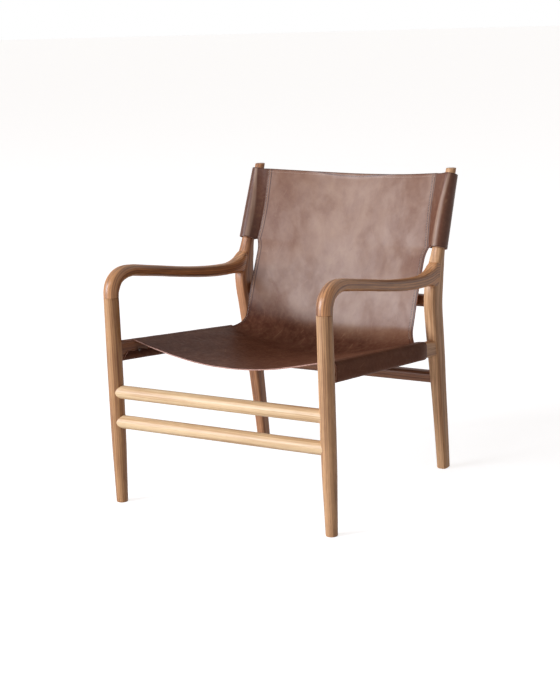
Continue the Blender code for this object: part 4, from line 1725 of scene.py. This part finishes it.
    def back_rows(self, low_edge: float, low_middle: float) -> list[HideRow]:
        """The rows above the crease.

        Args:
            low_edge: The height at which they start at the edge.
            low_middle: The same in the middle.

        Returns:
            The rows.
        """
        sleeve_length = self.sleeve_top - self.sleeve_bottom
        rows = []
        for i in range(1, self.panel_rows + self.sleeve_rows + 1):
            over = i - self.panel_rows
            height = mix(low_edge, self.sleeve_bottom, i / self.panel_rows)
            if over > 0:
                height = mix(self.sleeve_bottom, self.sleeve_top, over / self.sleeve_rows)
            climbed = (height - low_edge) / (self.sleeve_top - low_edge)
            middle_height = mix(low_middle, self.sleeve_top - self.top_sag, climbed)
            line = self.edge_setback + self.rake * (middle_height - self.edge_height)
            at_middle = Vector((line + mix(self.bow_low, self.bow_high, climbed), middle_height))
            above = over * sleeve_length / self.sleeve_rows
            flare = self.sleeve_flare * max(0.0, 1 - abs(above) / self.flare_lengths[above > 0]) ** 2
            flare += self.top_widening * max(above, 0.0) / sleeve_length
            at_edge = Vector((self.back_edge(height), height))
            zone = Zone.SLEEVE if over >= 0 else Zone.PANEL
            rows.append(HideRow(zone, at_edge, at_middle, self.back_width / 2 + flare, climbed))
        return rows

    def panel_point(self, row: HideRow, share: float) -> Vector:
        """A point of the hide between its two edges.

        Args:
            row: Its row.
            share: Its share of the half width.

        Returns:
            The point.
        """
        point = row.edge.lerp(row.middle, self.hang(share))
        raised = row.share**2 if row.zone is Zone.SLEEVE else 0.0
        skewed = self.top_skew * math.sin(math.pi * share) * raised
        return self.frame.point(row.half * share, point.x, point.y - skewed)

    def sleeve_points(self, side: Side, row: HideRow) -> list[Vector]:
        """The hide from the back's edge round the post and back to a sewn flap.

        Args:
            side: The post's side.
            row: The row.

        Returns:
            The points.
        """
        post = (self.rear.across(row.edge.y), self.rear.setback(row.edge.y))
        radius = max(self.rear.halves(row.edge.y)) + self.frame.gap + self.sleeve_ease + self.thick / 2
        layer = self.thick + self.frame.gap
        starts = ((row.half, row.edge.x), (row.half, row.edge.x + layer))
        angles = []
        for lean, start in zip((-1.0, 1.0), starts):
            across, back = post[0] - start[0], post[1] - start[1]
            opening = math.asin(min(radius / math.hypot(across, back), 1.0))
            angles.append(math.atan2(back, across) + lean * (opening + math.pi / 2))
        arc = []
        for i in range(self.sleeve_steps + 1):
            angle = mix(*angles, i / self.sleeve_steps)
            arc.append((post[0] + radius * math.cos(angle), post[1] + radius * math.sin(angle)))
        inner = self.panel_point(row, (row.half - self.sleeve_flap) / row.half)
        flap_end = (inner.x, inner.y - self.frame.axis_y + layer)
        points = self.straight(starts[0], arc[0], self.straight_steps)[:-1] + arc
        points += self.straight(arc[-1], starts[1], self.straight_steps)
        points += self.straight(starts[1], flap_end, self.flap_steps)
        tilted = []
        for number, (x, depth) in enumerate(points):
            rise = (row.edge.x - depth) * self.sleeve_tilt * eased(number / self.straight_steps)
            tilted.append(self.frame.point(side.value * x, depth - rise * self.rake, row.edge.y + rise))
        return tilted

    @staticmethod
    def straight(first: Pair, last: Pair, steps: int) -> list[Pair]:
        """Equal steps from a pair of values to another, without the first."""
        return [mix_pairs(first, last, i / steps) for i in range(1, steps + 1)]

    def wrap_points(self, side: Side, row: HideRow) -> list[Vector]:
        """The hide over the rail, down its outer face, under it and up its inner face.

        Args:
            side: The rail's side.
            row: The row.

        Returns:
            The points.
        """
        outer = mix(self.wrap_front, self.wrap_rear, row.share)
        offset = self.offset()
        turn_steps, top_steps, corner_steps, flap_steps = self.wrap_steps
        points = []
        for i in range(1, turn_steps + 1):
            share = i / turn_steps
            at = mix(row.edge.x, outer, self.wrap_turn_share * share)
            degrees = mix(self.leaving_angle(), 90.0, share)
            points.append(self.rail.corner_point(side, at, (-1, 1), degrees, offset))
        for number, signs in enumerate(((1, 1), (1, -1), (-1, -1))):
            first = 90.0 - 90.0 * number
            start = self.rail.corner_point(side, outer, signs, first, offset)
            steps = corner_steps if number else top_steps
            points += [points[-1].lerp(start, i / steps) for i in range(1, steps)]
            for step in range(corner_steps + 1):
                degrees = first - 90.0 / corner_steps * step
                points.append(self.rail.corner_point(side, outer, signs, degrees, offset))
        foot = points[-1]
        cut = self.rail.centre(side, outer + self.flap_cut * (1 - row.share))
        rise = self.flap_rise + sum(wave.at(outer, side.value) for wave in self.flap_waves)
        end = foot + cut - self.rail.centre(side, outer) + UPWARD * rise
        return points + [foot.lerp(end, i / flap_steps) for i in range(1, flap_steps + 1)]

    def column_share(self, column: int) -> float:
        """Share of the half width at a column, closer together towards the edges."""
        t = column / self.half_columns
        return t * (1 + self.column_bunching - self.column_bunching * t * t)

    def lay_rows(self) -> None:
        """Makes the rows of points from right to left, with their places on the flat hide."""
        reach = self.half_columns
        ends_of = {Zone.SEAT: self.wrap_points, Zone.SLEEVE: self.sleeve_points}
        along = [0.0] * (2 * reach + 1)
        before = None
        for row in self.rows():
            panel = [self.panel_point(row, self.column_share(c)) for c in range(-reach, reach + 1)]
            right, left = [], []
            if row.zone in ends_of:
                right, left = (ends_of[row.zone](side, row) for side in (Side.RIGHT, Side.LEFT))
            if before:
                along = [a + (p - q).length for a, p, q in zip(along, panel, before)]
            before = panel
            spots = right[::-1] + panel + left
            middle = len(right) + reach
            across = [0.0] * len(spots)
            for i in range(middle + 1, len(spots)):
                across[i] = across[i - 1] + self.step_across(row, spots[i], spots[i - 1])
            for i in range(middle - 1, -1, -1):
                across[i] = across[i + 1] - self.step_across(row, spots[i], spots[i + 1])
            line = []
            for i, spot in enumerate(spots):
                column = min(max(i - len(right), 0), 2 * reach)
                forward = spot.y - panel[column].y if row.zone is Zone.SEAT else 0.0
                flat = Vector((across[i], along[column] + forward, 0.0))
                line.append(HidePoint(row, spot, flat, len(self.points) + i))
            row.half_flat = across[middle + reach]
            self.lines.append(line)
            self.points += line
        self.length = along[reach]
        self.crease_place = self.lines[self.seat_rows + self.crease_rows // 2][0].flat.y

    @staticmethod
    def step_across(row: HideRow, spot: Vector, last: Vector) -> float:
        """Distance between neighbours of a row, without the slant of the wraps' cut front ends."""
        step = spot - last
        return step.xz.length if row.zone is Zone.SEAT else step.length

    def lift(self, point: HidePoint) -> float:
        """How far the hide stands out of its fair line: waves, folds and the hem.

        Args:
            point: The point.

        Returns:
            The distance.
        """
        row = point.row
        across, along, _ = point.flat
        inside = row.half_flat - abs(across)
        free = eased(inside / self.free_reach)
        waves = sum(wave.at(across, along) for wave in self.seat_waves) * free
        if inside < 0:
            waves = (self.wrap_wave if row.zone is Zone.SEAT else self.sleeve_wave).at(across, along)
        hem = (self.length - along - self.hem_width) / self.hem_round
        fold = 0.0 if row.zone is Zone.SLEEVE else self.fold(across, along) * free
        return waves + self.hem_rise * (1 - eased(hem)) + fold

    def fold(self, across: float, along: float) -> float:
        """Shallow folds that run from the low corners of the back towards the crease.

        Args:
            across: The place across the flat hide.
            along: The place along it.

        Returns:
            Their height.
        """
        from_crease = (along - self.crease_place) / self.fold_reach
        near = math.exp(-from_crease * from_crease)
        to_side = abs(across) / self.back_width * 2
        turns = across * self.fold_turns[0] + along * self.fold_turns[1] * math.copysign(1.0, across)
        begin, width = self.fold_side
        return math.sin(turns) * self.fold_height * near * eased((to_side - begin) / width)

    def make(self) -> Thing:
        """Builds the hide with its thickness, its cut edges and its sewing.

        Returns:
            The hide.
        """
        self.lay_rows()
        layer = self.middle_layer()
        self.raise_points(layer)
        seams = self.sew()
        self.write_places(layer)
        for finish in (Finish.GRAIN_SIDE, Finish.FLESH_SIDE, Finish.RAW_EDGE):
            layer.data.materials.append(finish.material)
        hide = self.thicken(layer)
        fix_in_frame(hide, Slot.LEATHER, "leather_sling")
        return hide

    def middle_layer(self) -> Thing:
        """Joins the rows by their places across, so that wraps and sleeves stay apart.

        Returns:
            The hide's middle layer.
        """
        draft = Draft([point.spot for point in self.points])
        for low, high in zip(self.lines, self.lines[1:]):
            # Rows of one length are joined to their ends, others only over the panel
            reach = len(low) // 2 if len(low) == len(high) else self.half_columns
            base, top = len(low) // 2, len(high) // 2
            for c in range(-reach, reach):
                corners = (low[base + c], low[base + c + 1], high[top + c + 1], high[top + c])
                draft.faces.append(tuple(corner.index for corner in corners))
        return make_object("hide_middle", draft, [])

    def raise_points(self, layer: Thing) -> None:
        """Moves the middle layer out or in by the hide's unevenness.

        Args:
            layer: The middle layer.
        """
        self.read_normals(layer)
        for point in self.points:
            point.spot = point.spot + point.normal * self.lift(point)
            layer.data.vertices[point.index].co = point.spot
        layer.data.update()
        self.read_normals(layer)

    def read_normals(self, layer: Thing) -> None:
        """Gives each point the normal that the layer has there."""
        for point, vertex in zip(self.points, layer.data.vertices):
            point.normal = vertex.normal.copy()

    def write_places(self, layer: Thing) -> None:
        """Writes each point's flat place, and its distance to the side, the top and any cut edge.

        Args:
            layer: The middle layer.
        """
        uses = Counter(key for face in layer.data.polygons for key in face.edge_keys)
        cut = {index for key, count in uses.items() if count == 1 for index in key}
        tree = kdtree.KDTree(len(cut))
        for index in cut:
            tree.insert(self.points[index].flat, index)
        tree.balance()
        places, edges = [], []
        for point in self.points:
            places += list(point.flat)
            side = 1.0 if point.row.zone is Zone.SEAT else point.row.half_flat - abs(point.flat.x)
            edges += [side, self.length - point.flat.y, tree.find(point.flat)[2]]
        write_at_points(layer, HIDE_PLACE, "FLOAT_VECTOR", places)
        write_at_points(layer, HIDE_EDGES, "FLOAT_VECTOR", edges)

    def thicken(self, layer: Thing) -> Thing:
        """Gives the layer its thickness, its flesh side and its softened cut edges.

        Args:
            layer: The middle layer, which is taken away at the end.

        Returns:
            The hide.
        """
        solid = layer.modifiers.new("thickness", "SOLIDIFY")
        solid.thickness = self.thick
        solid.offset = 0.0
        solid.material_offset = 1
        solid.material_offset_rim = 2
        soften = layer.modifiers.new("softened edges", "BEVEL")
        soften.width = self.edge_round
        soften.segments = self.edge_steps
        soften.limit_method = "ANGLE"
        soften.angle_limit = math.radians(self.edge_degrees)
        graph = bpy.context.evaluated_depsgraph_get()
        mesh = bpy.data.meshes.new_from_object(layer.evaluated_get(graph))
        mesh.name = "seat_and_back_hide"
        hide = link_object(mesh.name, mesh)
        bpy.data.objects.remove(layer)
        return hide

    def sew(self) -> list[Thing]:
        """Sews two rows down each side of the back and one row along its hem.

        Returns:
            The rows of stitches.
        """
        seams = []
        for side in Side:
            for name, inset in zip(("outer", "inner"), self.seam_insets):
                # On each side the row nearer the sitter's right gets pale thread, and the row nearer the left
                # thread painted dark as shade
                pale = (name == "outer") == (side is Side.RIGHT)
                seam = Seam(f"side_seam_{name}_{side.word}", self.side_path(side, inset), self.thick / 2)
                seams.append(seam.make(Finish.THREAD if pale else Finish.DARK_THREAD))
        return seams + [Seam("hem_seam", self.hem_path(), self.thick / 2).make(Finish.THREAD)]

    def side_path(self, side: Side, inset: float) -> Path:
        """Places and normals down the back, one for each row.

        Args:
            side: The back's side.
            inset: Distance from its edge.

        Returns:
            The path.
        """
        path = []
        for line in self.lines[self.seat_rows + self.seam_start_rows :]:
            path += self.crossing(line, 0, side.value * (line[0].row.half_flat - inset))
        return path

    def hem_path(self) -> Path:
        """Places and normals along the top of the back, one for each column.

        Returns:
            The path.
        """
        path = []
        for c in range(-self.half_columns, self.half_columns + 1):
            column = [line[len(line) // 2 + c] for line in self.lines[-self.hem_rows :]]
            path += self.crossing(column, 1, column[-1].flat.y - self.hem_seam)
        return path

    @staticmethod
    def crossing(points: list[HidePoint], axis: int, wanted: float) -> Path:
        """The place where a line of points reaches a wanted place of the flat hide.

        Args:
            points: The line of points.
            axis: 0 across the flat hide, and 1 along it.
            wanted: The wanted place.

        Returns:
            The place and its normal, as a path of one or none.
        """
        for a, b in zip(points, points[1:]):
            low, high = a.flat[axis], b.flat[axis]
            if low <= wanted <= high:
                share = (wanted - low) / (high - low)
                return [(a.spot.lerp(b.spot, share), a.normal.lerp(b.normal, share))]
        return []


# Fixings
@dataclass(frozen=True)
class Fixings:
    """The dowels, pins and tacks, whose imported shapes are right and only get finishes."""

    words: tuple = (("tack", Finish.STEEL), ("dowel", Finish.DOWEL), ("pin", Finish.DOWEL))

    def dress(self) -> None:
        """Gives each packed fixing its material."""
        for name, node in frame["nodes"].items():
            finish = next((finish for word, finish in self.words if word in name), None)
            if finish:
                node.data.materials.clear()
                node.data.materials.append(finish.material)
                LOG.info("%s: dressed as %s", name, finish.material.name)


# Studio
@dataclass(frozen=True)
class Lamp:
    """A soft rectangular lamp: its way from the chair, distance, sizes and power."""

    name: str
    way: Triple
    far: float
    sizes: Pair
    power: float


@dataclass
class Studio:
    """A pale floor, a broad lamp from the sitter's right front, a small one and a pale room."""

    place: Triple = (2.20587, -3.11062, 1.21746)
    turns: Triple = (33.0217, 11.9230, -2.1030)
    lens: float = 83.88
    film: float = 36.0
    lamps: tuple = (
        Lamp("broad side lamp", (-0.56, -0.79, 0.30), 10.0, (4.6, 6.0), 1080.0),
        Lamp("small front lamp", (0.02, -0.78, 0.62), 3.5, (0.5, 0.5), 11.0),
    )
    lamp_target: Triple = (0.0, 0.0, 0.45)
    lamp_tint: Triple = (0.94, 1.005, 1.13)
    room_tint: Triple = (1.0, 0.80, 0.67)
    room_low: float = 0.38
    room_high: float = 0.08
    white: Triple = (1.0, 1.0, 1.0)
    floor_color: Triple = (0.66, 0.66, 0.66)
    floor_roughness: float = 0.9
    floor_reach: float = 60.0
    floor_glow: float = 0.80

    def make(self, sizes: Frame) -> None:
        """Builds the camera, the lamps, the room and the floor.

        Args:
            sizes: The frame's sizes.
        """
        bpy.context.scene.view_settings.view_transform = "Standard"
        self.make_camera(sizes)
        for lamp in self.lamps:
            self.make_lamp(lamp)
        self.make_room()
        self.make_floor()

    def make_camera(self, sizes: Frame) -> None:
        """Puts the camera where the photograph was taken from.

        Args:
            sizes: The frame's sizes.
        """
        turned, raised, rolled = (math.radians(angle) for angle in self.turns)
        flat = math.cos(raised)
        back = Vector((math.sin(turned) * flat, -math.cos(turned) * flat, math.sin(raised)))
        level = Vector((math.cos(turned), math.sin(turned), 0.0))
        right = level * math.cos(rolled) + back.cross(level) * math.sin(rolled)
        data = bpy.data.cameras.new("camera")
        data.sensor_fit = "AUTO"
        data.sensor_width = self.film
        data.lens = self.lens
        camera = link_object("camera", data)
        turn = Matrix((right, back.cross(right), back)).transposed().to_4x4()
        camera.matrix_world = Matrix.Translation(sizes.point(*self.place)) @ turn
        bpy.context.scene.camera = camera

    def make_lamp(self, lamp: Lamp) -> None:
        """Hangs a soft lamp so that it faces the chair.

        Args:
            lamp: The lamp.
        """
        data = bpy.data.lights.new(lamp.name, "AREA")
        data.shape = "RECTANGLE"
        data.size, data.size_y = lamp.sizes
        data.energy = lamp.power
        data.color = self.lamp_tint
        hung = link_object(lamp.name, data)
        way = Vector(lamp.way).normalized()
        hung.rotation_euler = way.to_track_quat("Z", "Y").to_euler()
        hung.location = Vector(self.lamp_target) + way * lamp.far

    def make_room(self) -> None:
        """Lights the chair softly from all sides, white where the camera or a gloss looks."""
        world = bpy.data.worlds.new("pale room")
        bpy.context.scene.world = world
        world.use_nodes = True
        graph = Graph(world.node_tree)
        rise = graph.add("SeparateXYZ", {0: graph.add("TexCoord").outputs["Generated"]}).outputs[2]
        light = graph.remap(rise, 0.0, 0.9, self.room_low, self.room_high)
        seen = self.seen_directly(graph)
        tint = graph.blend(seen, self.room_tint, self.white)
        strength = graph.add("MapRange", {0: seen, 1: 0.0, 2: 1.0, 3: light, 4: 1.0}).outputs[0]
        graph.feed(world.node_tree.nodes["Background"], {"Color": tint, "Strength": strength})

    @staticmethod
    def seen_directly(graph: Graph) -> Socket:
        """1 where the camera, a gloss or a glass looks, and 0 for the light on the chair.

        Args:
            graph: The graph of the room or the floor.

        Returns:
            The share.
        """
        path = graph.add("LightPath").outputs
        seen = graph.math("MAXIMUM", path["Is Camera Ray"], path["Is Transmission Ray"])
        return graph.math("MAXIMUM", seen, path["Is Glossy Ray"])

    def make_floor(self) -> None:
        """Lays a pale floor that reads as white where no shadow lies."""
        corners = [Vector((x, y, 0.0)) * self.floor_reach for x, y in ((-1, -1), (1, -1), (1, 1), (-1, 1))]
        material, graph, shader = new_material("pale floor")
        look = {
            "Base Color": self.floor_color,
            "Roughness": self.floor_roughness,
            "Emission Color": self.white,
            "Emission Strength": graph.times(self.seen_directly(graph), self.floor_glow),
        }
        graph.feed(shader, look)
        make_object("studio_floor", Draft(corners, [(0, 1, 2, 3)]), [material])


def main() -> None:
    """Builds the chair piece by piece."""
    logging.basicConfig(level=logging.INFO, format="%(name)s: %(message)s")
    sizes = Frame()
    Studio().make(sizes)
    shared = SharedEffects()
    for finish in Finish:
        finish.value.make(shared)
    front, rear = FrontLeg(sizes), RearLeg(sizes)
    rail, arm = SeatRail(sizes, front, rear), Armrest(sizes, front, rear)
    for side in Side:
        for word, shape in (("front_leg", front), ("rear_leg", rear), ("armrest", arm), ("seat_rail", rail)):
            Member(f"{word}_{side.word}", shape.rings(side)).make()
    for rod in Rods(sizes, rear).members():
        rod.make()
    Hide(sizes, rail, rear).make()
    Fixings().dress()


if __name__ == "__main__":
    main()
